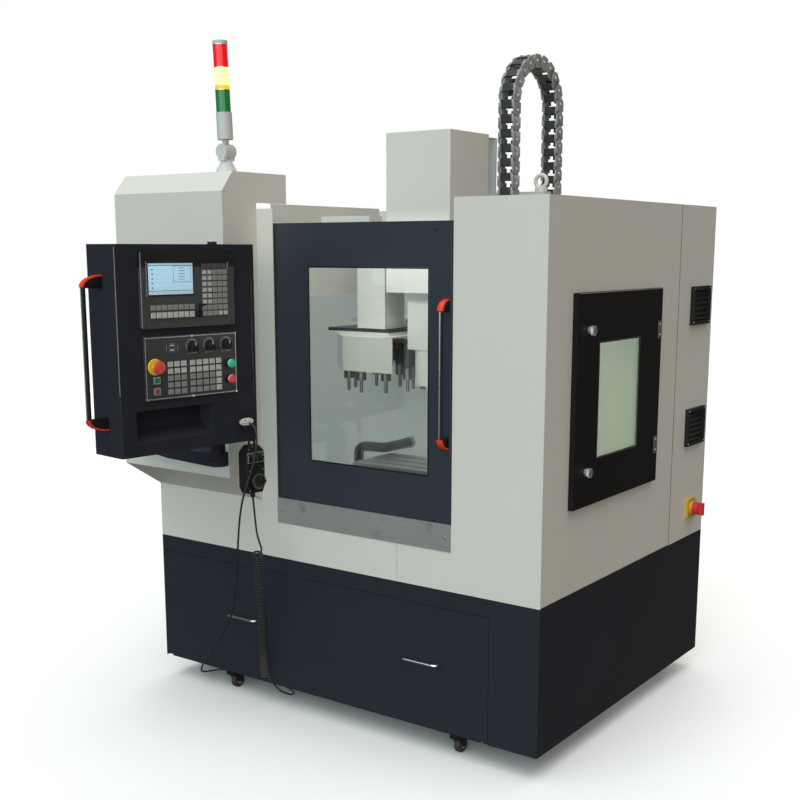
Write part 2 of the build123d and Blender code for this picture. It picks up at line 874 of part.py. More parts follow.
def right_panel():
    """Right front and side of the enclosure in one folded sheet, with the side door's mouth and hinge eyes."""
    plan = [(x_open_right, 0), (x_right, 0), (x_right, y_cabinet), (x_right - sheet, y_cabinet),
            (x_right - sheet, sheet), (x_open_right + sheet, sheet), (x_open_right + sheet, panel_return),
            (x_open_right, panel_return)]
    wall = prism_z(plan, skirt_top, wall_top)
    rim = [(x_open_right, 0), (x_right, 0), (x_right, y_cabinet), (x_right - top_return, y_cabinet),
           (x_right - top_return, top_return), (x_open_right, top_return)]
    wall += prism_z(rim, wall_top - sheet, wall_top)
    wall -= block(x_right - sheet - overrun, x_right + overrun, side_door_front + side_door_lap,
                  side_door_back - side_door_lap, side_door_bottom + side_door_lap,
                  side_door_top - side_door_lap)
    y = side_door_back + knuckle_offset
    for z in (knuckle_upper, knuckle_lower):
        eye = drum(x_knuckle, y, z - knuckle_length, z, knuckle_radius)
        leaf = block(x_right, x_right + sheet, y, y + knuckle_length, z - knuckle_length, z)
        wall += eye + leaf
    return wall


def left_panel():
    """Left front sheet with the door post, folded round into the left side."""
    front = [(x_left, skirt_top), (x_seam, skirt_top), (x_seam, apron_top), (x_open_left, apron_top),
             (x_open_left, post_top), (x_bay, post_top), (x_bay, bay_floor), (x_left, bay_floor)]
    panel = prism_y(front, 0, sheet)
    panel += block(x_left, x_left + sheet, 0, y_cabinet, skirt_top, wall_top)
    return panel + block(x_left, x_left + top_return, bay_tail, y_cabinet, wall_top - sheet, wall_top)


def apron_panel():
    """Short sheet under the door, right of the seam."""
    face = block(x_seam, x_open_right, 0, sheet, skirt_top, apron_top)
    return face + block(x_seam, x_open_right, 0, top_return, apron_top - sheet, apron_top)


def sill_plate():
    """Stainless sill under the door, folded inwards at its top."""
    profile = [(-sill_sheet, apron_top), (0, apron_top), (0, sill_top - sill_sheet),
               (sheet, sill_top - sill_sheet), (sheet, sill_top), (-sill_sheet, sill_top)]
    return prism_x(profile, x_open_left, x_open_right)


def magazine_bay():
    """Tall bay on the left: a folded shell with a chamfered top, a sloped floor and an inner partition."""
    outline = [(0, bay_floor), (-bay_reach, bay_slope_top), (-bay_reach, bay_face_top),
               (bay_chamfer - bay_reach, bay_top), (bay_tail, bay_top), (bay_tail, wall_top), (0, wall_top)]
    shell = prism_x(outline, x_left, x_bay)
    slope = atan2(bay_slope_top - bay_floor, bay_reach)
    lift = sheet / cos(slope)
    lean = atan2(bay_top - bay_face_top, bay_chamfer)
    ease = sheet * tan(lean / 2)
    inside = [(overrun, bay_floor + lift - overrun * tan(slope)), (0, bay_floor + lift),
              (sheet - bay_reach, bay_slope_top + lift - sheet * tan(slope)),
              (sheet - bay_reach, bay_face_top - ease),
              (bay_chamfer - bay_reach + ease, bay_top - sheet), (bay_tail + overrun, bay_top - sheet),
              (bay_tail + overrun, wall_top - overrun), (overrun, wall_top - overrun)]
    shell -= prism_x(inside, x_left + sheet, x_bay - sheet)
    wall = block(x_bay - sheet, x_bay, partition_start, guard_y, partition_bottom, partition_top)
    return shell + wall


def electrical_cabinet():
    """Cabinet across the back, open at the rear on the left where its door is."""
    y0, y1 = y_cabinet, y_cabinet_joint
    box = block(x_left, x_right, y0, y1, skirt_top, wall_top)
    box -= block(x_left + cabinet_sheet, x_right - cabinet_sheet, y0 + cabinet_sheet, y1 - cabinet_sheet,
                 skirt_top + cabinet_sheet, wall_top - cabinet_sheet)
    mouth = block(x_left + cabinet_flange, x_left + cabinet_door_width - cabinet_flange,
                  y1 - cabinet_sheet - overrun, y1 + overrun, skirt_top + cabinet_flange,
                  wall_top - cabinet_flange)
    fixed = block(x_left + cabinet_door_width + fit_gap, x_right, y1, base_depth, skirt_top, wall_top)
    fixed -= block(x_left + cabinet_door_width + fit_gap + cabinet_sheet, x_right - cabinet_sheet, y1 - overrun,
                   base_depth - cabinet_sheet, skirt_top + cabinet_sheet, wall_top - cabinet_sheet)
    cabinet = box - mouth + fixed
    for z in hinge_heights():
        cabinet += drum(x_cabinet_hinge, y_cabinet_joint, z - cabinet_hinge_length, z, cabinet_hinge_radius)
        cabinet += block(x_left - sheet, x_left, y_cabinet_joint - cabinet_flange, y_cabinet_joint - run_gap,
                         z - cabinet_hinge_length, z)
    return cabinet


def hinge_heights():
    """Where the two halves of each rear door hinge meet."""
    return (skirt_top + cabinet_hinge_inset, wall_top - cabinet_hinge_inset)


def cabinet_door():
    """Rear cabinet door: a folded tray with two hinge barrels at the machine's left."""
    y0, y1 = y_cabinet_joint + run_gap, base_depth
    x0, x1 = x_left, x_left + cabinet_door_width
    door = block(x0, x1, y0, y1, skirt_top, wall_top)
    door -= block(x0 + cabinet_sheet, x1 - cabinet_sheet, y0 - overrun, y1 - cabinet_sheet,
                  skirt_top + cabinet_sheet, wall_top - cabinet_sheet)
    for z in hinge_heights():
        low, high = z + run_gap, z + run_gap + cabinet_hinge_length
        door += drum(x_cabinet_hinge, y_cabinet_joint, low, high, cabinet_hinge_radius)
        door += block(x0 - sheet, x0, y0, y1, low, high)
    return door


def cabinet_vents():
    """Two louvred filter covers on the cabinet's right side."""
    vents = []
    y = base_depth - vent_from_back
    for z in (vent_upper, vent_lower):
        cover = block(x_right, x_right + vent_depth, y - vent_width / 2, y + vent_width / 2,
                      z - vent_height / 2, z + vent_height / 2)
        half_y, half_z = vent_width / 2 - vent_rim, vent_height / 2 - vent_rim
        cover -= block(x_right + vent_slat_sheet, x_right + vent_depth + overrun, y - half_y, y + half_y,
                       z - half_z, z + half_z)
        step = 2 * half_z / vent_slats
        for count in range(vent_slats):
            slat_z = z - half_z + step * (count + 1 / 2)
            cover += Pos(x_right + vent_depth / 2, y, slat_z) * Rot(0, vent_slat_tilt, 0) * Box(
                vent_depth - vent_slat_sheet, 2 * half_y, vent_slat_sheet)
        vents.append(cover)
    return vents


def main_switch_base():
    """Square plate of the main switch with its round collar."""
    y = base_depth - switch_from_back
    half = switch_plate / 2
    plate = block(x_right, x_right + switch_plate_thick, y - half, y + half, switch_height - half,
                  switch_height + half)
    plate = fillet(plate.edges().filter_by(Axis.X), switch_plate_thick / 2)
    x = x_right + switch_plate_thick
    return plate + rod_x(x, x + switch_collar_length, y, switch_height, switch_collar)


def main_switch_knob():
    """Round knob with a grip bar across it."""
    y = base_depth - switch_from_back
    x = x_right + switch_plate_thick + switch_collar_length + run_gap
    knob = rod_x(x, x + switch_knob_length, y, switch_height, switch_knob_radius)
    bar = switch_bar_width / 2
    return knob + block(x, x + switch_knob_length + switch_bar_length, y - bar, y + bar,
                        switch_height - switch_knob_radius, switch_height + switch_knob_radius)


def side_door():
    """Side door: a folded tray with its window mouth and two hinge eyes."""
    x0, x1 = x_right + run_gap, x_right + run_gap + side_door_thick
    door = block(x0, x1, side_door_front, side_door_back, side_door_bottom, side_door_top)
    rim = side_door_lap - fit_gap
    door -= block(x0 - overrun, x1 - sheet, side_door_front + rim, side_door_back - rim, side_door_bottom + rim,
                  side_door_top - rim)
    door -= block(x0, x1 + overrun, side_window_front, side_window_back, side_window_bottom, side_window_top)
    y = side_door_back + knuckle_offset
    for z in (knuckle_upper, knuckle_lower):
        low, high = z + run_gap, z + run_gap + knuckle_length
        eye = drum(x_knuckle, y, low, high, knuckle_radius)
        door += eye + block(x0, x_knuckle, side_door_back - sheet, y, low, high)
    for z in (lock_upper, lock_lower):
        door -= rod_x(x0 - overrun, x1 + overrun, lock_y, z, lock_shank_radius + run_gap)
    return door


def side_window():
    """Glass seated inside the side door's front sheet."""
    x1 = x_right + run_gap + side_door_thick - sheet
    return block(x1 - glass_thick, x1, side_window_front - glass_lap, side_window_back + glass_lap,
                 side_window_bottom - glass_lap, side_window_top + glass_lap)


def side_lock(z):
    """Quarter-turn lock: round head with a wing, a shank through the door and a cam behind it."""
    x0 = x_right + run_gap + side_door_thick + run_gap / 2
    head = rod_x(x0, x0 + lock_body, lock_y, z, lock_radius)
    wing = block(x0 + lock_body, x0 + lock_body + lock_wing_height, lock_y - lock_wing_width / 2,
                 lock_y + lock_wing_width / 2, z - lock_wing_length / 2, z + lock_wing_length / 2)
    x_cam = x_right + run_gap + side_door_thick - sheet - lock_cam_gap
    shank = rod_x(x_cam - lock_cam_sheet, x0, lock_y, z, lock_shank_radius)
    cam = block(x_cam - lock_cam_sheet, x_cam, lock_y - lock_cam_length, lock_y + lock_cam_width / 2,
                z - lock_cam_width / 2, z + lock_cam_width / 2)
    return head + wing + shank + cam


def front_door():
    """Sliding door: a sheet face with flanges behind, its window mouth and two guide shoes."""
    y0, y1 = door_front, y_door_back
    door = block(x_door_left, x_door_right, y0, y1, door_bottom, door_top)
    door = fillet(door.edges().filter_by(Axis.Z).group_by(Axis.Y)[0], door_sheet)
    door -= block(x_door_left + door_sheet, x_door_right - door_sheet, y0 + door_sheet, y1 + overrun,
                  door_bottom + door_sheet, door_top - door_sheet)
    wx0, wx1 = x_door_left + window_left, x_door_right - window_right
    wz0, wz1 = door_bottom + window_low, door_top - window_high
    mouth = block(wx0, wx1, y0 - overrun, y0 + door_sheet + overrun, wz0, wz1)
    mouth = fillet(mouth.edges().filter_by(Axis.Y), window_round)
    door -= mouth
    z_guide = door_top - guide_drop
    for x in (x_door_left + guide_shoe, x_door_right - guide_shoe):
        door += block(x - guide_shoe / 2, x + guide_shoe / 2, y0 + door_sheet, y1 + guide_gap - run_gap,
                      z_guide - guide_height / 2, z_guide + guide_height / 2)
    return door


def front_window():
    """Glass seated behind the door's face."""
    y0 = door_front + door_sheet
    return block(x_door_left + window_left - glass_lap, x_door_right - window_right + glass_lap, y0,
                 y0 + glass_thick, door_bottom + window_low - glass_lap, door_top - window_high + glass_lap)


def door_rail():
    """Guide rail behind the door from wall to wall, and the lamp box that stands on it."""
    y0 = y_door_back + guide_gap
    z = door_top - guide_drop
    top = z + guide_height / 2
    rail = block(x_left + sheet, x_right - sheet, y0, y0 + guide_depth, z - guide_height / 2, top)
    lower_z = (apron_top + sill_top) / 2
    rail_low = block(x_left + sheet, x_right - sheet, y0, y0 + guide_depth, lower_z - guide_height / 2,
                     lower_z + guide_height / 2)
    x0 = x_spindle - lamp_width + lamp_past_spindle
    lamp = block(x0, x0 + lamp_width, y0, y0 + lamp_depth, top, top + lamp_height)
    return [rail + lamp, rail_low]


def bow_handle(low, high, standoff):
    """Bow handle in front of the plane Y = 0 at X = 0: two sloped end caps and a round bar, as three solids."""
    half = cap_width / 2
    caps = []
    for z, way in ((low, -1), (high, 1)):
        foot = z + way * cap_foot / 2
        side = [(0, z - way * cap_tip / 2), (-standoff - grip_radius, z - way * cap_tip / 2),
                (-standoff - grip_radius, z + way * cap_tip / 2), (0, foot + way * cap_tip / 2)]
        cap = prism_x(side, -half, half)
        cap = fillet(cap.edges().filter_by(Axis.X).group_by(Axis.Y)[0], grip_radius / 2)
        caps.append(cap)
    bar = drum(0, -standoff, low + cap_tip / 2, high - cap_tip / 2, grip_radius)
    return caps + [bar]


def door_handle():
    """Handle near the front door's right edge."""
    x = x_door_right - grip_from_edge
    return [Pos(x, door_front, 0) * piece for piece in bow_handle(grip_bottom, grip_top, grip_standoff)]


def on_console(shape):
    """Moves a shape from the console's own frame (pivot at X = Y = 0, face to -Y) to its swung place."""
    return Pos(x_pivot, y_pivot, 0) * Rot(0, 0, console_swing) * shape


c_left = console_far - console_width
c_face = -console_depth / 2


def face_block(left, width, low, height, y0, y1):
    """Block on the console's face, from its left edge and a height."""
    return block(c_left + left, c_left + left + width, y0, y1, low, low + height)


def console_box():
    """Console housing with the recessed tray under the panel, the far socket and the pivot cap."""
    box = block(c_left, console_far, c_face, -c_face, console_bottom, console_top)
    box = fillet(box.edges().filter_by(Axis.Z), console_round)
    mouth = [(c_face - overrun, console_bottom + tray_low), (c_face - overrun, console_bottom + tray_high),
             (c_face + tray_depth, console_bottom + tray_high),
             (c_face + tray_depth, console_bottom + tray_low + tray_low)]
    box -= prism_x(mouth, c_left + tray_left, c_left + tray_left + tray_width)
    z = console_bottom + socket_low
    x = c_left + socket_left
    socket = rod_y(x, c_face - socket_length, c_face, z, socket_radius)
    socket += rod_y(x + socket_stretch, c_face - socket_length, c_face, z, socket_radius)
    socket += block(x, x + socket_stretch, c_face - socket_length, c_face, z - socket_radius, z + socket_radius)
    return box + socket + drum(0, 0, console_top, console_top + console_cap_height, console_cap_radius)


def controller():
    """Controller unit: bezel with the screen's recess, keypad and soft keys; the screen is its own solid."""
    front = c_face - controller_thick
    bezel = face_block(controller_left, controller_width, controller_bottom, controller_height, front, c_face)
    bezel = fillet(bezel.edges().filter_by(Axis.Y), console_round)
    left = controller_left + screen_left
    low = controller_bottom + screen_low
    bezel -= face_block(left, screen_width, low, screen_height, front - overrun, front + screen_recess)
    bezel += face_block(controller_left + pad_left, pad_width, controller_bottom + pad_low, pad_height,
                        front - key_thick, front)
    bezel += face_block(controller_left + soft_left, soft_width, controller_bottom + soft_low, soft_height,
                        front - key_thick, front)
    screen = face_block(left, screen_width, low, screen_height, front + screen_recess - screen_thick,
                        front + screen_recess)
    return [bezel, screen]


def panel_point(left, low):
    """Point on the operation panel from its lower left corner."""
    return c_left + panel_left + left, panel_bottom + low


def operation_panel():
    """Operation panel: plate with key blocks, square keys, the stop's disc, button collars and stem holes."""
    front = c_face - panel_thick
    plate = face_block(panel_left, panel_width, panel_bottom, panel_height, front, c_face)
    for left, width in ((block_left, block_width), (block_left + block_width + block_gap, block_two_width)):
        plate += face_block(panel_left + left, width, panel_bottom + block_low, block_height,
                            front - key_thick, front)
    for low in square_lows:
        plate += face_block(panel_left + square_left - square_size / 2, square_size,
                            panel_bottom + low - square_size / 2, square_size, front - square_height, front)
    x, z = panel_point(estop_left, estop_low)
    plate += rod_y(x, front - estop_disc_height, front, z, estop_disc)
    plate -= rod_y(x, front - estop_disc_height - overrun, c_face, z, button_stem + run_gap)
    for low in (start_low, stop_low):
        x, z = panel_point(button_left, low)
        plate += rod_y(x, front - button_collar_height, front, z, button_collar)
        plate -= rod_y(x, front - button_collar_height - overrun, c_face, z, button_stem + run_gap)
    return plate


def rotary_knob(count):
    """Rotary switch knob: skirt, grip and a raised pointer."""
    x, z = panel_point(knob_first + count * knob_pitch, knob_low)
    front = c_face - panel_thick - run_gap
    knob = rod_y(x, front - knob_skirt, front, z, knob_skirt_radius)
    knob += rod_y(x, front - knob_length, front - knob_skirt, z, knob_radius)
    bar = knob_skirt / 2
    return knob + block(x - bar, x + bar, front - knob_length - bar, front - knob_length, z - knob_radius / 2,
                        z + knob_radius)


def push_button(low):
    """Round button with its stem in the panel."""
    x, z = panel_point(button_left, low)
    seat = c_face - panel_thick - button_collar_height
    gap = button_length / 2
    button = rod_y(x, seat - gap - button_length, seat - gap, z, button_radius)
    return button + rod_y(x, seat - gap, c_face - panel_thick / 2, z, button_stem)


def estop_button():
    """Mushroom emergency stop: domed head on a stem."""
    x, z = panel_point(estop_left, estop_low)
    seat = panel_thick + estop_disc_height - c_face
    head = estop_radius
    profile = [(0, -panel_thick / 2), (button_stem, -panel_thick / 2), (button_stem, estop_length / 2),
               (head, estop_length / 2 + button_stem), (head, estop_length),
               (head - button_stem, estop_length + button_stem / 2), (0, estop_length + button_stem / 2)]
    return Pos(x, -seat, z) * Rot(90, 0, 0) * turned(profile)


def console_handle():
    """Handle on the console's near end."""
    pieces = bow_handle(console_grip_bottom, console_grip_top, console_grip_standoff)
    return [on_console(Pos(c_left, 0, 0) * Rot(0, 0, -90) * piece) for piece in pieces]


def console_bracket():
    """Bracket on the bay's face: a plate, a tapered arm to the pivot and the post under the console."""
    x0 = x_left + bay_width - bracket_left - bracket_width
    x1 = x_bay - bracket_hub / 2
    y0 = -bay_reach - bracket_plate
    plate = block(x0, x1, y0, -bay_reach, bracket_plate_low, bracket_plate_high)
    throat = x0 + (x1 - x0) * bracket_throat_share
    high = bracket_low + bracket_thick
    arm = prism_z([(x0, y0), (x1, y0), (x_pivot + bracket_hub, y_pivot), (x_pivot, y_pivot - bracket_hub),
                   (throat, y_pivot), (x0, y0 - bracket_hub)], bracket_low, high)
    arm += drum(x_pivot, y_pivot, bracket_low, high, bracket_hub)
    return plate + arm + drum(x_pivot, y_pivot, high, console_bottom - run_gap, bracket_post)


p_x = console_far - pendant_from_far
p_y = -pendant_forward
p_face = p_y - pendant_depth / 2


def pendant_body():
    """Handwheel pendant: housing with sloped shoulders, dial boss, two selectors, strain relief and hook."""
    half = pendant_width / 2
    outline = [(p_x - half + pendant_neck, pendant_bottom), (p_x + half - pendant_neck, pendant_bottom),
               (p_x + half, pendant_bottom + pendant_shoulder), (p_x + half, pendant_top - pendant_shoulder),
               (p_x + half - pendant_shoulder, pendant_top), (p_x - half + pendant_shoulder, pendant_top),
               (p_x - half, pendant_top - pendant_shoulder), (p_x - half, pendant_bottom + pendant_shoulder)]
    body = prism_y(outline, p_face, p_face + pendant_depth)
    body = fillet(body.edges().filter_by(Plane.XZ).group_by(Axis.Y)[0], pendant_neck / 2)
    body += rod_y(p_x, p_face - dial_boss_height, p_face, pendant_bottom + dial_low, dial_boss)
    for hand in (-1, 1):
        body += rod_y(p_x + hand * selector_pitch / 2, p_face - selector_height, p_face,
                      pendant_bottom + selector_low, selector_radius)
    body += drum(p_x, p_y, pendant_bottom - relief_length, pendant_bottom, relief_radius)
    eye_top = console_bottom
    half_hook = hook_width / 2
    bow = prism_y([(p_x - half_hook, pendant_top), (p_x + half_hook, pendant_top), (p_x + half_hook, eye_top),
                   (p_x - half_hook, eye_top)], p_y - hook_wire / 2, p_y + hook_wire / 2)
    bow -= block(p_x - half_hook + hook_wire, p_x + half_hook - hook_wire, p_y - hook_wire, p_y + hook_wire,
                 pendant_top, eye_top - hook_wire)
    return body + bow


def pendant_dial():
    """Hundred-step dial with its crank knob."""
    z = pendant_bottom + dial_low
    y1 = p_face - dial_boss_height - run_gap
    dial = rod_y(p_x, y1 - dial_height, y1, z, dial_radius)
    spin = dial_radius - selector_radius
    grip = y1 - dial_height
    return dial + rod_y(p_x + spin, grip - selector_height, grip, z, selector_radius / 2)


def tube(points, radius):
    """Round tube along straight runs with arcs as large as the runs allow; prints the radii."""
    route = [Vector(*point) for point in points]
    radii = []
    for before, here, after in zip(route, route[1:], route[2:]):
        turn = radians((here - before).get_angle(after - here))
        shorter = min((here - before).length, (after - here).length)
        radii.append(cord_arc_share * shorter / tan(turn / 2))
    print("cord radii", [round(value) for value in radii])
    path = FilletPolyline(route, radius=radii)
    start = Plane(origin=route[0], z_dir=route[1] - route[0])
    solid = sweep(start * Circle(radius), path=path)
    share = solid.volume / (path.length * pi * radius ** 2)
    print("cord length", round(path.length), "volume share", round(share, 3))
    return solid


# Where the pendant's cord runs: out of the console's socket, down past the tank's face, along the
# floor under the tank and up to the curly part, then from the curl's top to the pendant.
lead_route = [(-106, -251, 1087), (-92, -254, 1072), (-86, -257, 1046), (-86, -262, 1004), (-97, -273, 940),
              (-122, -284, 868), (-146, -278, 806), (-171, -264, 732), (-197, -244, 650), (-226, -222, 570),
              (-264, -190, 487), (-300, -164, 424), (-346, -130, 362), (-400, -100, 306), (-458, -74, 250),
              (-524, -52, 184), (-590, -34, 110), (-640, -4, 58), (-684, 44, 24), (-706, 96, 5),
              (-690, 140, 4), (-640, 164, 4), (-560, 172, 4), (-470, 170, 4), (-390, 164, 4), (-320, 150, 4),
              (-270, 118, 6), (-252, 72, 20), (-262, 24, 48), (-282, -28, 105)]
curl_route = [(-282, -28, 105), (-161, -185, 650)]
tail_route = [(-161, -185, 650), (-150, -199, 702), (-146, -209, 752)]


def console_spot(x, y, z):
    """Point of the console's own frame, in its swung place."""
    spot = on_console(Location((x, y, z))).position
    return spot.X, spot.Y, spot.Z


def cord_start():
    """Where the cord leaves the console's socket."""
    return console_spot(c_left + socket_left + socket_stretch / 2, c_face - socket_length,
                        console_bottom + socket_low)


def cord_end():
    """Where the cord enters the pendant's strain relief."""
    return console_spot(p_x, p_y, pendant_bottom - relief_length)


def pendant_lead():
    """Straight stretches of the pendant's cord: socket to curl, and curl to pendant."""
    return [tube([cord_start()] + lead_route, cord_radius), tube(tail_route + [cord_end()], cord_radius)]


def pendant_curl():
    """Outer shape of the curly part of the cord."""
    start, end = Vector(*curl_route[0]), Vector(*curl_route[1])
    return extrude(Plane(origin=start, z_dir=end - start) * Circle(curl_radius), (end - start).length)


def stack_pedestal():
    """Flared pedestal of the stack light, with two cheeks for the fold joint."""
    low = light_joint_z - light_joint_radius
    profile = [(0, bay_top), (light_foot_radius, bay_top), (light_foot_radius, bay_top + light_foot_height),
               (light_stem_radius, low), (0, low)]
    foot = Pos(x_light, y_light, 0) * turned(profile)
    cheek = light_cheek + light_joint_gap
    for hand in (-1, 1):
        y0, y1 = sorted((y_light + hand * cheek / 2, y_light + hand * light_joint_radius))
        side = rod_y(x_light, y0, y1, light_joint_z, light_joint_radius)
        side += block(x_light - light_stem_radius, x_light + light_stem_radius, y0, y1, low - light_foot_height,
                      light_joint_z - light_stem_radius)
        foot += side
    return foot


def light_at_joint(shape):
    """Moves a shape from the fold joint's own frame to its leaning place."""
    return Pos(x_light, y_light, light_joint_z) * Rot(0, -light_lean, 0) * shape


def stack_head():
    """Folding part of the stack light: tongue, neck, grey body, the rod through the lenses and the cap."""
    tongue = rod_y(0, -light_cheek / 2, light_cheek / 2, 0, light_joint_radius)
    top = light_body_low + light_body_height + light_lens_count * (light_lens_height + light_lens_gap)
    head = tongue + drum(0, 0, 0, light_body_low, light_neck_radius / 2)
    head += drum(0, 0, light_joint_radius + light_joint_gap, light_body_low, light_neck_radius)
    head += drum(0, 0, light_body_low, light_body_low + light_body_height, light_body_radius)
    head += drum(0, 0, light_body_low, top, light_neck_radius)
    for count in range(1, light_lens_count):
        z = light_body_low + light_body_height + count * (light_lens_height + light_lens_gap) - light_lens_gap
        head += drum(0, 0, z, z + light_lens_gap, light_lens_radius)
    head += drum(0, 0, top - light_lens_gap, top + light_cap_height, light_lens_radius)
    return light_at_joint(head)


def stack_lenses():
    """Three ring lenses, green under amber under red."""
    lenses = []
    for count in range(light_lens_count):
        z = light_body_low + light_body_height + count * (light_lens_height + light_lens_gap)
        ring = drum(0, 0, z, z + light_lens_height, light_lens_radius)
        ring -= drum(0, 0, z, z + light_lens_height, light_neck_radius + glass_gap)
        lenses.append(light_at_joint(ring))
    return lenses


def coolant_tank():
    """Tank trough with its front plate, rigid rear forks and the plates of its casters."""
    x0, x1 = x_tank_left, x_tank_right
    tank = block(x0, x1, 0, tank_face_sheet, tank_face_bottom, tank_face_top - fit_gap)
    low = 2 * wheel_radius + fork_height - fork_length + swivel_height + caster_plate
    tank += block(x0 + tank_side_gap, x1 - tank_side_gap, tank_face_sheet, tank_depth, low, tank_wall_top)
    inset = tank_side_gap + tank_sheet
    tank -= block(x0 + inset, x1 - inset, tank_face_sheet + tank_sheet, tank_depth - tank_sheet,
                  low + tank_sheet, tank_wall_top + overrun)
    half = caster_plate_size / 2
    for x in caster_xs():
        for y in (caster_front, caster_back):
            tank += block(x - half, x + half, y - half, y + half, low - caster_plate, low)
        tank += fork(x, caster_back, low - caster_plate)
    return tank


def caster_xs():
    """The two casters' places along X."""
    return (x_tank_left + caster_left_inset, x_tank_right - caster_right_inset)


def fork(x, y, high):
    """Fork of two plates joined by a crown, with its axle, wheel trailing in +Y."""
    inner = wheel_width / 2 + fork_side_gap
    outer = inner + fork_sheet
    y_axle = y + caster_trail
    crown = 2 * wheel_radius + fork_side_gap
    half = fork_length / 2
    side = [(y - half, high), (y + half, high), (y_axle + wheel_bore + fork_sheet, axle_z - wheel_bore),
            (y_axle - wheel_bore - fork_sheet, axle_z - wheel_bore)]
    shape = prism_x(side, x - outer, x - inner) + prism_x(side, x + inner, x + outer)
    shape += block(x - outer, x + outer, y - half, y + half, crown, high)
    return shape + rod_x(x - outer, x + outer, y_axle, axle_z, wheel_bore)


def caster_fork(x):
    """Swivel fork with its king disc under the caster's plate."""
    low = 2 * wheel_radius + fork_height - fork_length
    king = drum(x, caster_front, low, low + swivel_height - run_gap, swivel_radius)
    return fork(x, caster_front, low) + king


def caster_wheel(x, y):
    """Wheel with a grooved tread, bored for its axle."""
    half = wheel_width / 2
    bore = wheel_bore + run_gap / 2
    profile = [(bore, -half), (wheel_radius - wheel_groove, -half), (wheel_radius, wheel_groove - half),
               (wheel_radius, half - wheel_groove), (wheel_radius - wheel_groove, half), (bore, half)]
    return Pos(x, y + caster_trail, axle_z) * Rot(0, 90, 0) * turned(profile)


def tank_handles():
    """Two chrome bow handles on the tank's face."""
    handles = []
    half = bow_length / 2
    for x in (x_tank_left + handle_left_inset, x_tank_right - handle_right_inset):
        path = FilletPolyline([(x - half, 0, handle_height), (x - half, -bow_standoff, handle_height),
                               (x + half, -bow_standoff, handle_height), (x + half, 0, handle_height)],
                              radius=bow_standoff / 2)
        section = Plane(origin=(x - half, 0, handle_height), z_dir=(0, -1, 0)) * Circle(bow_radius)
        handles.append(sweep(section, path=path))
    return handles


def build_nodes():
    """All nodes by name, before the part is centred."""
    left, right = caster_xs()
    nodes = {
        "base_skirt": base_skirt(), "levelling_feet": levelling_feet(), "base_casting": base_casting(),
        "column": column(), "lifting_eyebolts": lifting_eyebolts(), "chip_tray": chip_tray(),
        "splash_guard": splash_guard(), "right_panel": right_panel(), "left_panel": left_panel(),
        "apron_panel": apron_panel(), "sill_plate": sill_plate(), "magazine_bay": magazine_bay(),
        "electrical_cabinet": electrical_cabinet(), "cabinet_vents": cabinet_vents(),
        "main_switch_base": main_switch_base(), "door_rail": door_rail(), "console_bracket": console_bracket(),
        "stack_pedestal": stack_pedestal(), "magazine_arm": magazine_arm(), "drain_hose": drain_hose(),
        "front_door": front_door(), "front_window": front_window(), "door_handle": door_handle(),
        "side_door": side_door(), "side_window": side_window(), "lock_upper": side_lock(lock_upper),
        "lock_lower": side_lock(lock_lower), "cabinet_door": cabinet_door(),
        "main_switch_knob": main_switch_knob(),
        "console_box": on_console(console_box()), "controller": [on_console(piece) for piece in controller()],
        "operation_panel": on_console(operation_panel()), "console_handle": console_handle(),
        "knob_mode": on_console(rotary_knob(0)), "knob_feed": on_console(rotary_knob(1)),
        "knob_spindle": on_console(rotary_knob(2)), "estop_button": on_console(estop_button()),
        "start_button": on_console(push_button(start_low)), "stop_button": on_console(push_button(stop_low)),
        "pendant_body": on_console(pendant_body()), "pendant_dial": on_console(pendant_dial()),
        "pendant_lead": pendant_lead(), "pendant_curl": pendant_curl(), "stack_head": stack_head(),
        "stack_lenses": stack_lenses(), "saddle": saddle(), "table": table(), "spindle_head": spindle_head(),
        "head_cover": head_cover(), "spindle": spindle(), "z_drag_chain": z_drag_chain(),
        "magazine_carriage": magazine_carriage(), "tool_carousel": tool_carousel(),
        "coolant_tank": coolant_tank(),
        "tank_handles": tank_handles(), "caster_fork_left": caster_fork(left),
        "caster_fork_right": caster_fork(right), "wheel_left": caster_wheel(left, caster_front),
        "wheel_right": caster_wheel(right, caster_front),
        "wheels_rear": [caster_wheel(left, caster_back), caster_wheel(right, caster_back)],
    }
    return {name: Compound(shape) if isinstance(shape, list) else shape for name, shape in nodes.items()}


cord_names = ("pendant_lead", "pendant_curl")


def centre_shift(nodes):
    """Move that puts the middle of the part's footprint, cord apart, at X = Y = 0."""
    boxes = [shape.bounding_box() for name, shape in nodes.items() if name not in cord_names]
    x = (min(box.min.X for box in boxes) + max(box.max.X for box in boxes)) / 2
    y = (min(box.min.Y for box in boxes) + max(box.max.Y for box in boxes)) / 2
    return Pos(-x, -y, 0)


def main():
    """Builds, centres and writes every node."""
    nodes = build_nodes()
    shift = centre_shift(nodes)
    print("shift", shift.position)
    os.makedirs("parts", exist_ok=True)
    for name, shape in nodes.items():
        export_step(shift * shape, f"parts/{name}.step")


main()
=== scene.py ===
import json
import logging
import math
from collections.abc import Callable, Sequence
from dataclasses import dataclass
from enum import Enum

import bmesh
import bpy
from mathutils import Matrix, Vector

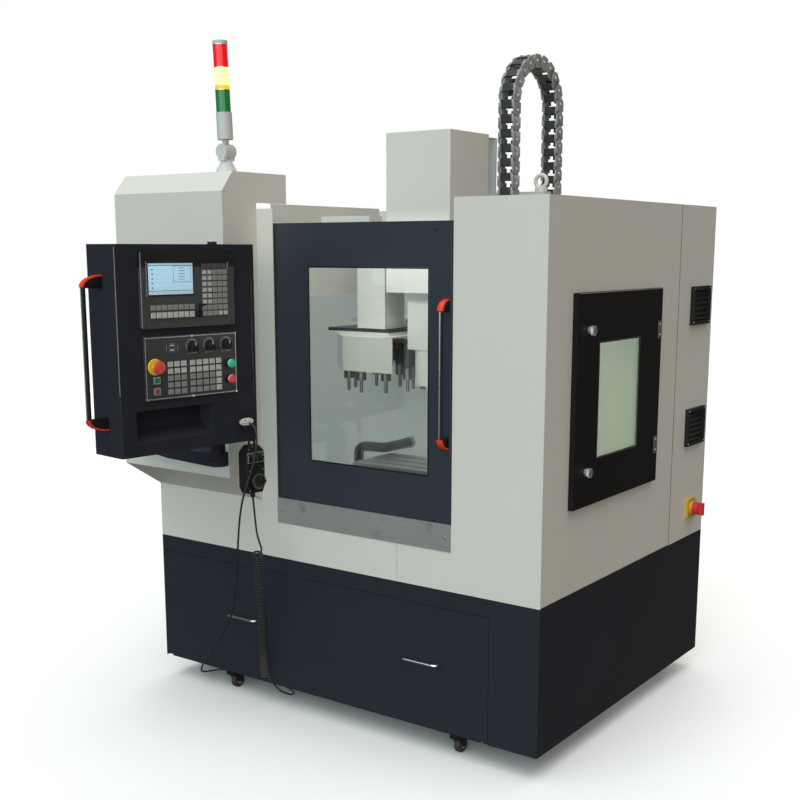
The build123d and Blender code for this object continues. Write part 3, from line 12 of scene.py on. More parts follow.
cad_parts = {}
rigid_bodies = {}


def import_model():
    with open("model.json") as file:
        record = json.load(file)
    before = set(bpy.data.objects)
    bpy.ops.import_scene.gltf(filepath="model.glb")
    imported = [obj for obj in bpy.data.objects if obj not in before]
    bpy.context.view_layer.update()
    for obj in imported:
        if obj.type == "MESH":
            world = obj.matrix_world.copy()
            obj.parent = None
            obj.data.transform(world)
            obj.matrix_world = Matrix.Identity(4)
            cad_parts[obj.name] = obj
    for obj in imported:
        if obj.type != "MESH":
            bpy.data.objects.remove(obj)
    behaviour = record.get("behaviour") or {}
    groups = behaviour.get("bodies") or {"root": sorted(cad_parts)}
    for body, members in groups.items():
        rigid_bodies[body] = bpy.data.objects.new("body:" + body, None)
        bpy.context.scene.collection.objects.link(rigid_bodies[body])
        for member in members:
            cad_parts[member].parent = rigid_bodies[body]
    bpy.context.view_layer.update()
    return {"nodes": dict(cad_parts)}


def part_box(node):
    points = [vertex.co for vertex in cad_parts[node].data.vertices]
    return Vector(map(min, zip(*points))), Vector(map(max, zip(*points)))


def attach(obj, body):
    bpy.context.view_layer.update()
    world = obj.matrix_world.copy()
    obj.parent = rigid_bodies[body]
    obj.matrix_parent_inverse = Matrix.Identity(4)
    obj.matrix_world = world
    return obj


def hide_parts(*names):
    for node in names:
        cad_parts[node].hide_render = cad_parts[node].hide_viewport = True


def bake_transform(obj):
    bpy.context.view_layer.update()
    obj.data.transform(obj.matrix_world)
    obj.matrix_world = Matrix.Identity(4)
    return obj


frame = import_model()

LOG = logging.getLogger("machining_center")
MM = 0.001
BEVEL_ANGLE = math.radians(35)
SHADE_ANGLE = math.radians(32)
DUST_COLOUR = (0.42, 0.38, 0.33)
RUB_START, RUB_GAIN = 0.62, 9.0
RIB_STEPS = 6
HERE = Matrix.Identity(4)
Pair = tuple[float, float]
Point = tuple[float, float, float]
Colour = tuple[float, float, float]
Node = bpy.types.Node
Socket = bpy.types.NodeSocket
Value = float | int | Sequence[float] | Socket

# The machine's own frame, as in the part's source: millimetres, X = 0 in the middle of the base,
# Y = 0 the plane of the front panels. The skirt gives its place in the row frame.
SKIRT_LOW, SKIRT_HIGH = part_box("base_skirt")
MACHINE = Matrix.Translation(((SKIRT_LOW.x + SKIRT_HIGH.x) / 2, SKIRT_LOW.y, 0)) @ Matrix.Scale(MM, 4)
FACE_FRONT = Matrix.Rotation(math.radians(90), 4, "X")
FACE_RIGHT, FACE_LEFT, FACE_BACK = (
    Matrix.Rotation(math.radians(turn), 4, "Z") @ FACE_FRONT for turn in (90, -90, 180))


class Body(str, Enum):
    """CAD bodies that the scene's own pieces ride on."""

    FRAME = "machine_frame"
    FRONT_DOOR = "front_door"
    SIDE_DOOR = "side_door"
    LOCK_UPPER = "lock_upper"
    LOCK_LOWER = "lock_lower"
    CABINET_DOOR = "cabinet_door"
    CONSOLE = "console"
    KNOB_MODE = "knob_mode"
    KNOB_FEED = "knob_feed"
    KNOB_SPINDLE = "knob_spindle"
    ESTOP = "estop_button"
    START = "start_button"
    STOP = "stop_button"
    PENDANT_DIAL = "pendant_dial"
    STACK_LIGHT = "stack_light"
    HEAD = "spindle_head"
    WHEEL_LEFT = "wheel_left"
    WHEEL_RIGHT = "wheel_right"


class Slot(str, Enum):
    """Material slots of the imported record."""

    STEEL = "steel"
    CHROME = "chrome"
    BLACK = "black_plastic"
    GREY = "grey_plastic"
    PANEL = "panel_silver"
    RED = "red_plastic"
    GREEN = "green_plastic"
    ORANGE = "orange_plastic"
    LENS = "lens"
    RUBBER = "rubber"


class Axis(Enum):
    """Main directions, with the order in which an outline's two numbers and its depth are read."""

    X = (1, 2, 0)
    Y = (0, 2, 1)
    Z = (0, 1, 2)

    def point(self, u: float, v: float, depth: float) -> Vector:
        """A point of an outline that lies across this axis."""
        made = Vector((0, 0, 0))
        for index, value in zip(self.value, (u, v, depth)):
            made[index] = value
        return made


def at(x: float, y: float, z: float, facing: Matrix = HERE) -> Matrix:
    """Place of a form, turned to face a side of the machine."""
    return Matrix.Translation((x, y, z)) @ facing


def front(x: float, y: float, z: float) -> Matrix:
    """Place of a form that faces the front of the machine."""
    return at(x, y, z, FACE_FRONT)


def extent(node: str) -> list[Vector]:
    """Lower and upper corner of a CAD node's box, in machine millimetres."""
    return [MACHINE.inverted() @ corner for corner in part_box(node)]


def opaque(colour: Colour) -> tuple[float, float, float, float]:
    """Colour with full alpha."""
    return (*colour, 1.0)


def floats(*names: str) -> dict[str, str]:
    """Number sockets by name."""
    return dict.fromkeys(names, "NodeSocketFloat")


def colours(*names: str) -> dict[str, str]:
    """Colour sockets by name."""
    return dict.fromkeys(names, "NodeSocketColor")


def link(name: str, data: bpy.types.ID) -> bpy.types.Object:
    """Adds an object to the scene."""
    made = bpy.data.objects.new(name, data)
    bpy.context.scene.collection.objects.link(made)
    return made


def smooth_curve(name: str, route: Sequence[Sequence[float]], resolution: int) -> bpy.types.Curve:
    """Open curve with rounded corners.

    Args:
        name: the curve's name.
        route: its control points.
        resolution: points between two control points.

    Returns:
        The curve's data.
    """
    made = bpy.data.curves.new(name, "CURVE")
    made.dimensions = "3D"
    spline = made.splines.new("NURBS")
    spline.points.add(len(route) - 1)
    for point, spot in zip(spline.points, route):
        point.co = (*spot, 1.0)
    spline.order_u = 3
    spline.use_endpoint_u = True
    spline.resolution_u = resolution
    return made


class Graph:
    """Adds and links the nodes of one node tree."""

    def __init__(self, tree: bpy.types.NodeTree) -> None:
        """Keeps the tree that the nodes go into."""
        self.tree = tree

    def feed(self, node: Node, inputs: dict[str | int, Value]) -> None:
        """Sets or links a node's inputs, given by name or number."""
        for key, value in inputs.items():
            if isinstance(value, Socket):
                self.tree.links.new(value, node.inputs[key])
            else:
                node.inputs[key].default_value = value

    def add(self, kind: str, inputs: dict[str | int, Value] | None = None, **settings: object) -> Node:
        """Adds a node.

        Args:
            kind: the node's type name.
            inputs: values or sockets for its inputs, by name or number.
            settings: the node's own properties.

        Returns:
            The new node.
        """
        node = self.tree.nodes.new(kind)
        for name, value in settings.items():
            setattr(node, name, value)
        self.feed(node, inputs or {})
        return node

    def math(self, operation: str, first: Value, second: Value = 0.0) -> Socket:
        """Result socket of a math node."""
        return self.add("ShaderNodeMath", {0: first, 1: second}, operation=operation).outputs[0]

    def vector(self, x: Value, y: Value, z: Value) -> Socket:
        """Vector socket from three numbers."""
        return self.add("ShaderNodeCombineXYZ", {0: x, 1: y, 2: z}).outputs[0]

    def scaled(self, vector: Value, share: Value) -> Socket:
        """Vector or colour socket times a number."""
        return self.add("ShaderNodeVectorMath", {0: vector, "Scale": share}, operation="SCALE").outputs[0]

    def blend(self, share: Value, first: Value, second: Value) -> Socket:
        """Colour socket between two colours."""
        return self.add("ShaderNodeMix", {0: share, 6: first, 7: second}, data_type="RGBA").outputs[2]

    def place(self) -> Socket:
        """Socket of the object's own coordinates."""
        return self.add("ShaderNodeTexCoord").outputs["Object"]

    def noise(self, place: Value, scale: Value, detail: float) -> Socket:
        """Value socket of a noise."""
        return self.add("ShaderNodeTexNoise", {"Vector": place, "Scale": scale, "Detail": detail}).outputs[0]


def shader_group(name: str, inputs: dict[str, str], outputs: dict[str, str]) -> tuple[Graph, Node, Node]:
    """Starts a shader node group.

    Args:
        name: the group's name.
        inputs: socket types by input name.
        outputs: socket types by output name.

    Returns:
        The graph, its input node and its output node.
    """
    tree = bpy.data.node_groups.new(name, "ShaderNodeTree")
    for side, sockets in (("INPUT", inputs), ("OUTPUT", outputs)):
        for label, kind in sockets.items():
            tree.interface.new_socket(label, in_out=side, socket_type=kind)
    graph = Graph(tree)
    return graph, graph.add("NodeGroupInput"), graph.add("NodeGroupOutput")


def grain_group() -> bpy.types.NodeTree:
    """Group of a coat's slow mottling and its fine grain."""
    graph, given, made = shader_group(
        "surface_grain",
        {**colours("Colour"), **floats("Mottle Scale", "Mottle", "Grain Scale", "Roughness", "Spread")},
        {**colours("Colour"), **floats("Roughness", "Height")})
    place, given = graph.place(), given.outputs
    swing = graph.math("SUBTRACT", graph.noise(place, given["Mottle Scale"], 4.0), 0.5)
    lift = graph.math("ADD", graph.math("MULTIPLY", swing, given["Mottle"]), 1.0)
    rough = graph.math("ADD", graph.math("MULTIPLY", swing, given["Spread"]), given["Roughness"])
    graph.feed(made, {"Colour": graph.scaled(given["Colour"], lift), "Roughness": rough,
                      "Height": graph.noise(place, given["Grain Scale"], 2.0)})
    return graph.tree


def dust_group() -> bpy.types.NodeTree:
    """Group of workshop dust that thins out with height above the floor."""
    graph, given, made = shader_group(
        "floor_dust", {**colours("Colour", "Dust"), **floats("Reach", "Amount")}, colours("Colour"))
    place, given = graph.place(), given.outputs
    height = graph.add("ShaderNodeSeparateXYZ", {0: place}).outputs[2]
    fall = graph.math("SUBTRACT", 1.0, graph.math("DIVIDE", height, given["Reach"]))
    share = graph.math("MULTIPLY", graph.math("MAXIMUM", fall, 0.0), graph.noise(place, 5.0, 6.0))
    share = graph.math("MINIMUM", graph.math("MULTIPLY", share, given["Amount"]), 1.0)
    graph.feed(made, {"Colour": graph.blend(share, given["Colour"], given["Dust"])})
    return graph.tree


def brush_group() -> bpy.types.NodeTree:
    """Group of fine lines left by brushing or grinding."""
    graph, given, made = shader_group(
        "brush_lines", {"Stretch": "NodeSocketVector", **floats("Scale", "Depth"), **colours("Colour")},
        {**colours("Colour"), **floats("Height")})
    given = given.outputs
    drawn = graph.add("ShaderNodeVectorMath", {0: graph.place(), 1: given["Stretch"]}, operation="MULTIPLY")
    lines = graph.noise(drawn.outputs[0], given["Scale"], 5.0)
    swing = graph.math("MULTIPLY", graph.math("SUBTRACT", lines, 0.5), given["Depth"])
    tint = graph.scaled(given["Colour"], graph.math("ADD", swing, 1.0))
    graph.feed(made, {"Colour": tint, "Height": lines})
    return graph.tree


def rub_group() -> bpy.types.NodeTree:
    """Group of small rubbed marks, where handling has worn the surface."""
    graph, given, made = shader_group(
        "rubbed_marks", {**colours("Colour", "Mark"), **floats("Scale", "Amount")}, colours("Colour"))
    given = given.outputs
    noise = graph.noise(graph.place(), given["Scale"], 8.0)
    mask = graph.math("MULTIPLY", graph.math("SUBTRACT", noise, RUB_START), RUB_GAIN)
    mask = graph.math("MINIMUM", graph.math("MAXIMUM", mask, 0.0), 1.0)
    mask = graph.math("MULTIPLY", mask, given["Amount"])
    graph.feed(made, {"Colour": graph.blend(mask, given["Colour"], given["Mark"])})
    return graph.tree


def band_group() -> bpy.types.NodeTree:
    """Group of a mask between two planes across one direction."""
    graph, given, made = shader_group(
        "band_mask", {"Direction": "NodeSocketVector", **floats("Low", "High")}, floats("Mask"))
    given = given.outputs
    along = graph.add("ShaderNodeVectorMath", {0: graph.place(), 1: given["Direction"]},
                      operation="DOT_PRODUCT")
    above = graph.math("GREATER_THAN", along.outputs["Value"], given["Low"])
    below = graph.math("LESS_THAN", along.outputs["Value"], given["High"])
    graph.feed(made, {"Mask": graph.math("MULTIPLY", above, below)})
    return graph.tree


class Effects:
    """The shared shader groups, each built once."""

    built: dict[str, bpy.types.NodeTree] = {}
    makers: dict[str, Callable[[], bpy.types.NodeTree]] = {
        "grain": grain_group, "dust": dust_group, "brush": brush_group, "rub": rub_group, "band": band_group}

    @classmethod
    def place(cls, graph: Graph, name: str, inputs: dict[str | int, Value]) -> bpy.types.NodeOutputs:
        """Places one shared group in a material with its own values.

        Args:
            graph: the material's graph.
            name: the group's short name.
            inputs: the group's inputs.

        Returns:
            The placed group's outputs.
        """
        if name not in cls.built:
            cls.built[name] = cls.makers[name]()
        return graph.add("ShaderNodeGroup", inputs, node_tree=cls.built[name]).outputs


@dataclass(frozen=True)
class Band:
    """A stretch of a node, between two planes in machine millimetres, that has its own colour."""

    axis: Axis
    low: float
    high: float
    colour: Colour
    metallic: float = 0.0

    def mask(self, graph: Graph) -> Socket:
        """Mask socket of the band, with its planes in the row frame."""
        way = Vector((0, 0, 0))
        way[self.axis.value[2]] = 1.0
        low, high = ((MACHINE @ (way * value)).dot(way) for value in (self.low, self.high))
        return Effects.place(graph, "band", {"Direction": tuple(way), "Low": low, "High": high})["Mask"]


@dataclass(frozen=True)
class Coating:
    """Anything that gives a surface its material; the material is made once for each name."""

    name: str
    colour: Colour

    def build(self) -> bpy.types.Material:
        """The material, made the first time it is asked for."""
        label = "finish_" + self.name
        made = bpy.data.materials.get(label)
        if not made:
            made = bpy.data.materials.new(label)
            made.use_nodes = True
            graph = Graph(made.node_tree)
            graph.tree.nodes.clear()
            graph.add("ShaderNodeOutputMaterial", {0: self.surface(graph)})
        return made

    def surface(self, graph: Graph) -> Socket:
        """Shader socket of the surface."""
        raise NotImplementedError


@dataclass(frozen=True)
class Finish(Coating):
    """A painted, moulded or metal surface."""

    roughness: float
    metallic: float = 0.0
    mottle: float = 0.1
    mottle_scale: float = 2.5
    grain_scale: float = 700.0
    grain_depth: float = 0.00004
    spread: float = 0.12
    dust: float = 0.0
    dust_reach: float = 0.5
    rub: float = 0.0
    rub_colour: Colour = (0.5, 0.5, 0.5)
    rub_scale: float = 30.0
    stretch: Point | None = None
    brush_depth: float = 0.5
    coat: float = 0.0
    coat_roughness: float = 0.1
    specular: float = 0.5
    glow: float = 0.0
    bands: tuple[Band, ...] = ()

    def surface(self, graph: Graph) -> Socket:
        """Shader socket of the surface."""
        shader = graph.add("ShaderNodeBsdfPrincipled", {"Specular IOR Level": self.specular,
                                                        "Coat Weight": self.coat,
                                                        "Coat Roughness": self.coat_roughness})
        grain = Effects.place(graph, "grain", {
            "Colour": opaque(self.colour), "Mottle Scale": self.mottle_scale, "Mottle": self.mottle,
            "Grain Scale": self.grain_scale, "Roughness": self.roughness, "Spread": self.spread})
        colour, height = self.marks(graph, grain["Colour"], grain["Height"])
        colour = self.banded(graph, shader, colour)
        bump = graph.add("ShaderNodeBump", {"Height": height, "Distance": self.grain_depth, "Strength": 1.0})
        graph.feed(shader, {"Base Color": colour, "Roughness": grain["Roughness"], "Normal": bump.outputs[0]})
        if self.glow:
            graph.feed(shader, {"Emission Color": colour, "Emission Strength": self.glow})
        return shader.outputs[0]

    def marks(self, graph: Graph, colour: Socket, height: Socket) -> tuple[Socket, Socket]:
        """Adds brushing, rubbed marks and dust.

        Args:
            graph: the material's graph.
            colour: colour so far.
            height: bump height so far.

        Returns:
            The colour and the bump height after the marks.
        """
        if self.stretch:
            lines = Effects.place(graph, "brush", {"Stretch": self.stretch, "Scale": 1.0,
                                                   "Depth": self.brush_depth, "Colour": colour})
            colour, height = lines["Colour"], lines["Height"]
        if self.rub:
            colour = Effects.place(graph, "rub", {"Colour": colour, "Mark": opaque(self.rub_colour),
                                                  "Scale": self.rub_scale, "Amount": self.rub})["Colour"]
        if self.dust:
            colour = Effects.place(graph, "dust", {"Colour": colour, "Dust": opaque(DUST_COLOUR),
                                                   "Reach": self.dust_reach, "Amount": self.dust})["Colour"]
        return colour, height

    def banded(self, graph: Graph, shader: Node, colour: Socket) -> Socket:
        """Lays the bands' colours over the base colour and sets the metal share.

        Args:
            graph: the material's graph.
            shader: the surface's shader, which takes the metal share.
            colour: colour so far.

        Returns:
            The colour with the bands.
        """
        if not self.bands:
            graph.feed(shader, {"Metallic": self.metallic})
            return colour
        metal = graph.add("ShaderNodeValue").outputs[0]
        metal.default_value = self.metallic
        for band in self.bands:
            mask = band.mask(graph)
            colour = graph.blend(mask, colour, opaque(band.colour))
            metal = graph.math("ADD", graph.math("MULTIPLY", metal, graph.math("SUBTRACT", 1.0, mask)),
                               graph.math("MULTIPLY", mask, band.metallic))
        graph.feed(shader, {"Metallic": metal})
        return colour


@dataclass(frozen=True)
class Glass(Coating):
    """Clear window sheet that lets the studio light through."""

    roughness: float = 0.02

    def surface(self, graph: Graph) -> Socket:
        """Shader socket of the sheet, with faint smears."""
        smears = Effects.place(graph, "grain", {
            "Colour": opaque(self.colour), "Mottle Scale": 3.0, "Mottle": 0.06, "Grain Scale": 9.0,
            "Roughness": self.roughness, "Spread": 0.02})
        shader = graph.add("ShaderNodeBsdfPrincipled", {
            "Base Color": smears["Colour"], "Roughness": smears["Roughness"],
            "Transmission Weight": 1.0, "IOR": 1.45})
        through = graph.add("ShaderNodeBsdfTransparent", {"Color": opaque(self.colour)})
        path = graph.add("ShaderNodeLightPath").outputs
        soft = graph.math("MAXIMUM", path["Is Shadow Ray"], path["Is Diffuse Ray"])
        return graph.add("ShaderNodeMixShader", {0: soft, 1: shader.outputs[0],
                                                 2: through.outputs[0]}).outputs[0]


def circle(steps: int) -> list[Pair]:
    """Cosine and sine of each step around a circle."""
    turns = [2 * math.pi * step / steps for step in range(steps)]
    return [(math.cos(turn), math.sin(turn)) for turn in turns]


def corners(low: Pair, high: Pair, inset: float = 0.0) -> list[Pair]:
    """Corners of a rectangle, drawn in by an inset."""
    (x0, y0), (x1, y1) = (low[0] + inset, low[1] + inset), (high[0] - inset, high[1] - inset)
    return [(x0, y0), (x1, y0), (x1, y1), (x0, y1)]


def skin(form: bmesh.types.BMesh, loops: Sequence[Sequence[bmesh.types.BMVert]]) -> None:
    """Adds the faces between loops that follow each other, each a ring or a single point."""
    for first, second in zip(loops, loops[1:]):
        for step in range(max(len(first), len(second))):
            ring = (first[step % len(first)], first[(step + 1) % len(first)],
                    second[(step + 1) % len(second)], second[step % len(second)])
            form.faces.new(dict.fromkeys(ring))


def soften(form: bmesh.types.BMesh, edge: float) -> None:
    """Rounds the sharp edges of a form by a width."""
    bmesh.ops.recalc_face_normals(form, faces=form.faces)
    if edge:
        sharp = [line for line in form.edges if line.calc_face_angle(0) > BEVEL_ANGLE]
        bmesh.ops.bevel(form, geom=sharp, offset=edge, segments=2, affect="EDGES", profile=0.6)


class Solid:
    """Mesh of one piece, gathered from closed forms that are given in millimetres."""

    def __init__(self, place: Matrix) -> None:
        """Starts an empty piece.

        Args:
            place: from the piece's own frame to the row frame.
        """
        self.place = place
        self.mesh = bmesh.new()
        self.paints: list[Coating] = []

    def take(self, form: bmesh.types.BMesh, finish: Coating, place: Matrix = HERE) -> None:
        """Adds one form in one finish.

        Args:
            form: the form's mesh, which is used up.
            finish: its finish.
            place: where it goes in the piece's frame.
        """
        if finish not in self.paints:
            self.paints.append(finish)
        bmesh.ops.recalc_face_normals(form, faces=form.faces)
        form.transform(place)
        for face in form.faces:
            face.material_index = self.paints.index(finish)
            face.smooth = True
        kept = bpy.data.meshes.new("form")
        form.to_mesh(kept)
        form.free()
        self.mesh.from_mesh(kept)
        bpy.data.meshes.remove(kept)

    def prism(self, outline: Sequence[Pair], axis: Axis, low: float, high: float, finish: Coating,
              edge: float = 0.0, place: Matrix = HERE) -> None:
        """Adds an outline drawn out along an axis.

        Args:
            outline: corners of the outline.
            axis: direction it is drawn along.
            low: start along the axis.
            high: end along the axis.
            finish: its finish.
            edge: width of the rounding of its edges.
            place: where it goes in the piece's frame.
        """
        form = bmesh.new()
        ends = [[form.verts.new(axis.point(u, v, depth)) for u, v in outline] for depth in (low, high)]
        for end in ends:
            form.faces.new(end)
        skin(form, ends)
        soften(form, edge)
        self.take(form, finish, place)

    def box(self, low: Point, high: Point, finish: Coating, edge: float = 0.6, place: Matrix = HERE) -> None:
        """Adds a block with rounded edges between two corners."""
        self.prism(corners(low[:2], high[:2]), Axis.Z, low[2], high[2], finish, edge, place)

    def lathe(self, profile: Sequence[Pair], finish: Coating, place: Matrix, steps: int = 32) -> None:
        """Adds a profile turned about the local Z axis.

        Args:
            profile: radius and height of its corners, from one end to the other.
            finish: its finish.
            place: where it goes in the piece's frame.
            steps: number of facets around.
        """
        form = bmesh.new()
        rings = [[form.verts.new((radius * x, radius * y, height)) for x, y in circle(steps if radius else 1)]
                 for radius, height in profile]
        skin(form, rings)
        for ring in (rings[0], rings[-1]):
            if len(ring) > 1:
                form.faces.new(ring)
        self.take(form, finish, place)

    def rod(self, route: Sequence[Point], radius: float, finish: Coating, steps: int = 14) -> None:
        """Adds a round bar along a route.

        Args:
            route: points of its middle line.
            radius: the bar's radius.
            finish: its finish.
            steps: number of facets around.
        """
        form = bmesh.new()
        line = [Vector(point) for point in route]
        side = (line[1] - line[0]).orthogonal().normalized()
        rings: list[list[bmesh.types.BMVert]] = []
        for index, point in enumerate(line):
            ahead = (line[min(index + 1, len(line) - 1)] - line[max(index - 1, 0)]).normalized()
            side = (side - ahead * side.dot(ahead)).normalized()
            across = ahead.cross(side)
            rings.append([form.verts.new(point + (side * x + across * y) * radius) for x, y in circle(steps)])
        skin(form, rings)
        for ring in (rings[0], rings[-1]):
            form.faces.new(ring)
        self.take(form, finish)

    def border(self, low: Pair, high: Pair, width: float, axis: Axis, near: float, far: float,
               finish: Coating, edge: float = 0.4) -> None:
        """Adds a mitred frame around a rectangle.

        Args:
            low: lower corner of its outside.
            high: upper corner of its outside.
            width: width of its bars.
            axis: direction across its plane.
            near: start along the axis.
            far: end along the axis.
            finish: its finish.
            edge: width of the rounding of its edges.
        """
        form = bmesh.new()
        loops = [[form.verts.new(axis.point(u, v, depth)) for u, v in corners(low, high, inset)]
                 for inset, depth in ((0.0, near), (width, near), (width, far), (0.0, far))]
        skin(form, [*loops, loops[0]])
        soften(form, edge)
        self.take(form, finish)

    def repeat(self, tree: "Repeater", base: bpy.types.ID, finish: Finish, place: Matrix,
               **values: float) -> None:
        """Adds what a Geometry Nodes tree makes.

        Args:
            tree: the tree.
            base: mesh or curve data that the tree starts from.
            finish: finish of what it makes.
            place: where it goes in the piece's frame.
            values: the tree's named inputs, with underscores for spaces.
        """
        made = tree.run(base, finish, values)
        form = bmesh.new()
        form.from_mesh(made)
        bpy.data.meshes.remove(made)
        self.take(form, finish, place)

    def keys(self, columns: int, rows: int, pitch: Pair, size: Point, finish: Finish, place: Matrix,
             taper: float = 0.86) -> None:
        """Adds key caps in a grid.

        Args:
            columns: number of columns.
            rows: number of rows.
            pitch: distance between middles, across and up.
            size: width, height and thickness of a cap.
            finish: finish of the caps.
            place: where the lower left cap's middle goes.
            taper: size of a cap's top against its foot.
        """
        self.repeat(REPEATS.caps, bpy.data.meshes.new("none"), finish, place, Columns=columns, Rows=rows,
                    Pitch_X=pitch[0], Pitch_Y=pitch[1], Width=size[0], Height=size[1], Thick=size[2],
                    Taper=taper)

    def ring(self, count: int, radius: float, span: Pair, size: Point, finish: Finish, place: Matrix) -> None:
        """Adds radial bars over part of a circle.

        Args:
            count: number of bars.
            radius: radius of their middles.
            span: angle of the first and the last in degrees.
            size: radial length, width and thickness of a bar.
            finish: finish of the bars.
            place: where the circle's middle goes.
        """
        step = math.radians(span[1] - span[0]) / max(count - 1, 1)
        self.repeat(REPEATS.ticks, bpy.data.meshes.new("none"), finish, place, Count=count, Radius=radius,
                    Start=math.radians(span[0]), Step=step, Length=size[0], Width=size[1], Thick=size[2])

    def heads(self, spots: Sequence[Point], radius: float, height: float, finish: Finish, place: Matrix,
              socket: float = 0.6) -> None:
        """Adds screw heads that face local Z.

        Args:
            spots: their middles.
            radius: head radius.
            height: head height.
            finish: finish of the heads.
            place: where the spots' origin goes.
            socket: size of the socket against the head's top.
        """
        points = bpy.data.meshes.new("spots")
        points.from_pydata(spots, [], [])
        self.repeat(REPEATS.screws, points, finish, place, Radius=radius, Height=height, Socket=socket)

    def hose(self, route: Sequence[Point], radius: float, finish: Finish, rib: float, pitch: float) -> None:
        """Adds a ribbed hose along a route with rounded corners.

        Args:
            route: control points of its middle line.
            radius: outer radius.
            finish: finish of the hose.
            rib: depth of the ribs against the radius.
            pitch: distance between ribs.
        """
        self.repeat(REPEATS.hose, smooth_curve("route", route, 24), finish, HERE, Radius=radius, Rib=rib,
                    Pitch=pitch)

    def piece(self, name: str, body: Body | None, slot: Slot, *replaced: str) -> bpy.types.Object:
        """Turns the gathered forms into one object of the scene.

        Args:
            name: the piece's name.
            body: CAD body it moves with, or None, where it is left without a body.
            slot: material slot of the record; not used.
            replaced: CAD nodes it stands for.

        Returns:
            The finished object, at the origin.
        """
        data = bpy.data.meshes.new(name)
        self.mesh.to_mesh(data)
        self.mesh.free()
        data.transform(self.place)
        for finish in self.paints:
            data.materials.append(finish.build())
        data.set_sharp_from_angle(angle=SHADE_ANGLE)
        made = link(name, data)
        if body:
            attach(made, body.value)
        if replaced:
            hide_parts(*replaced)
        LOG.info("piece %s: %d faces on %s", name, len(data.polygons), body.value if body else "two bodies")
        return made


class Repeater:
    """A Geometry Nodes tree with named inputs, run on a base mesh or curve to make what repeats."""

    def __init__(self, name: str, inputs: dict[str, str]) -> None:
        """Starts the tree.

        Args:
            name: the tree's name.
            inputs: socket types by input name, without the geometry and the material.
        """
        self.tree = bpy.data.node_groups.new(name, "GeometryNodeTree")
        self.ids: dict[str, str] = {}
        sockets = {"Geometry": "NodeSocketGeometry", **inputs, "Material": "NodeSocketMaterial"}
        for label, kind in sockets.items():
            made = self.tree.interface.new_socket(label, in_out="INPUT", socket_type=kind)
            self.ids[label] = made.identifier
        self.tree.interface.new_socket("Geometry", in_out="OUTPUT", socket_type="NodeSocketGeometry")
        self.graph = Graph(self.tree)
        self.given = self.graph.add("NodeGroupInput").outputs

    def form(self, kind: str, inputs: dict[str | int, Value], **settings: object) -> Socket:
        """First output of a geometry node, named without its prefix."""
        return self.graph.add("GeometryNode" + kind, inputs, **settings).outputs[0]

    def close(self, geometry: Socket) -> "Repeater":
        """Ends the tree with realized instances and a material, and returns it."""
        real = self.form("RealizeInstances", {"Geometry": geometry})
        painted = self.form("SetMaterial", {"Geometry": real, "Material": self.given["Material"]})
        self.graph.add("NodeGroupOutput", {"Geometry": painted})
        return self

    def run(self, base: bpy.types.ID, finish: Finish, values: dict[str, float]) -> bpy.types.Mesh:
        """Runs the tree.

        Args:
            base: mesh or curve data that the tree starts from.
            finish: finish of what it makes.
            values: the named inputs, with underscores for spaces.

        Returns:
            The made mesh.
        """
        host = link("host", base)
        nodes = host.modifiers.new("repeat", "NODES")
        nodes.node_group = self.tree
        nodes[self.ids["Material"]] = finish.build()
        for name, value in values.items():
            nodes[self.ids[name.replace("_", " ")]] = value
        bpy.context.view_layer.update()
        graph = bpy.context.evaluated_depsgraph_get()
        made = bpy.data.meshes.new_from_object(host.evaluated_get(graph), depsgraph=graph)
        host.modifiers.remove(nodes)
        bpy.data.objects.remove(host)
        return made


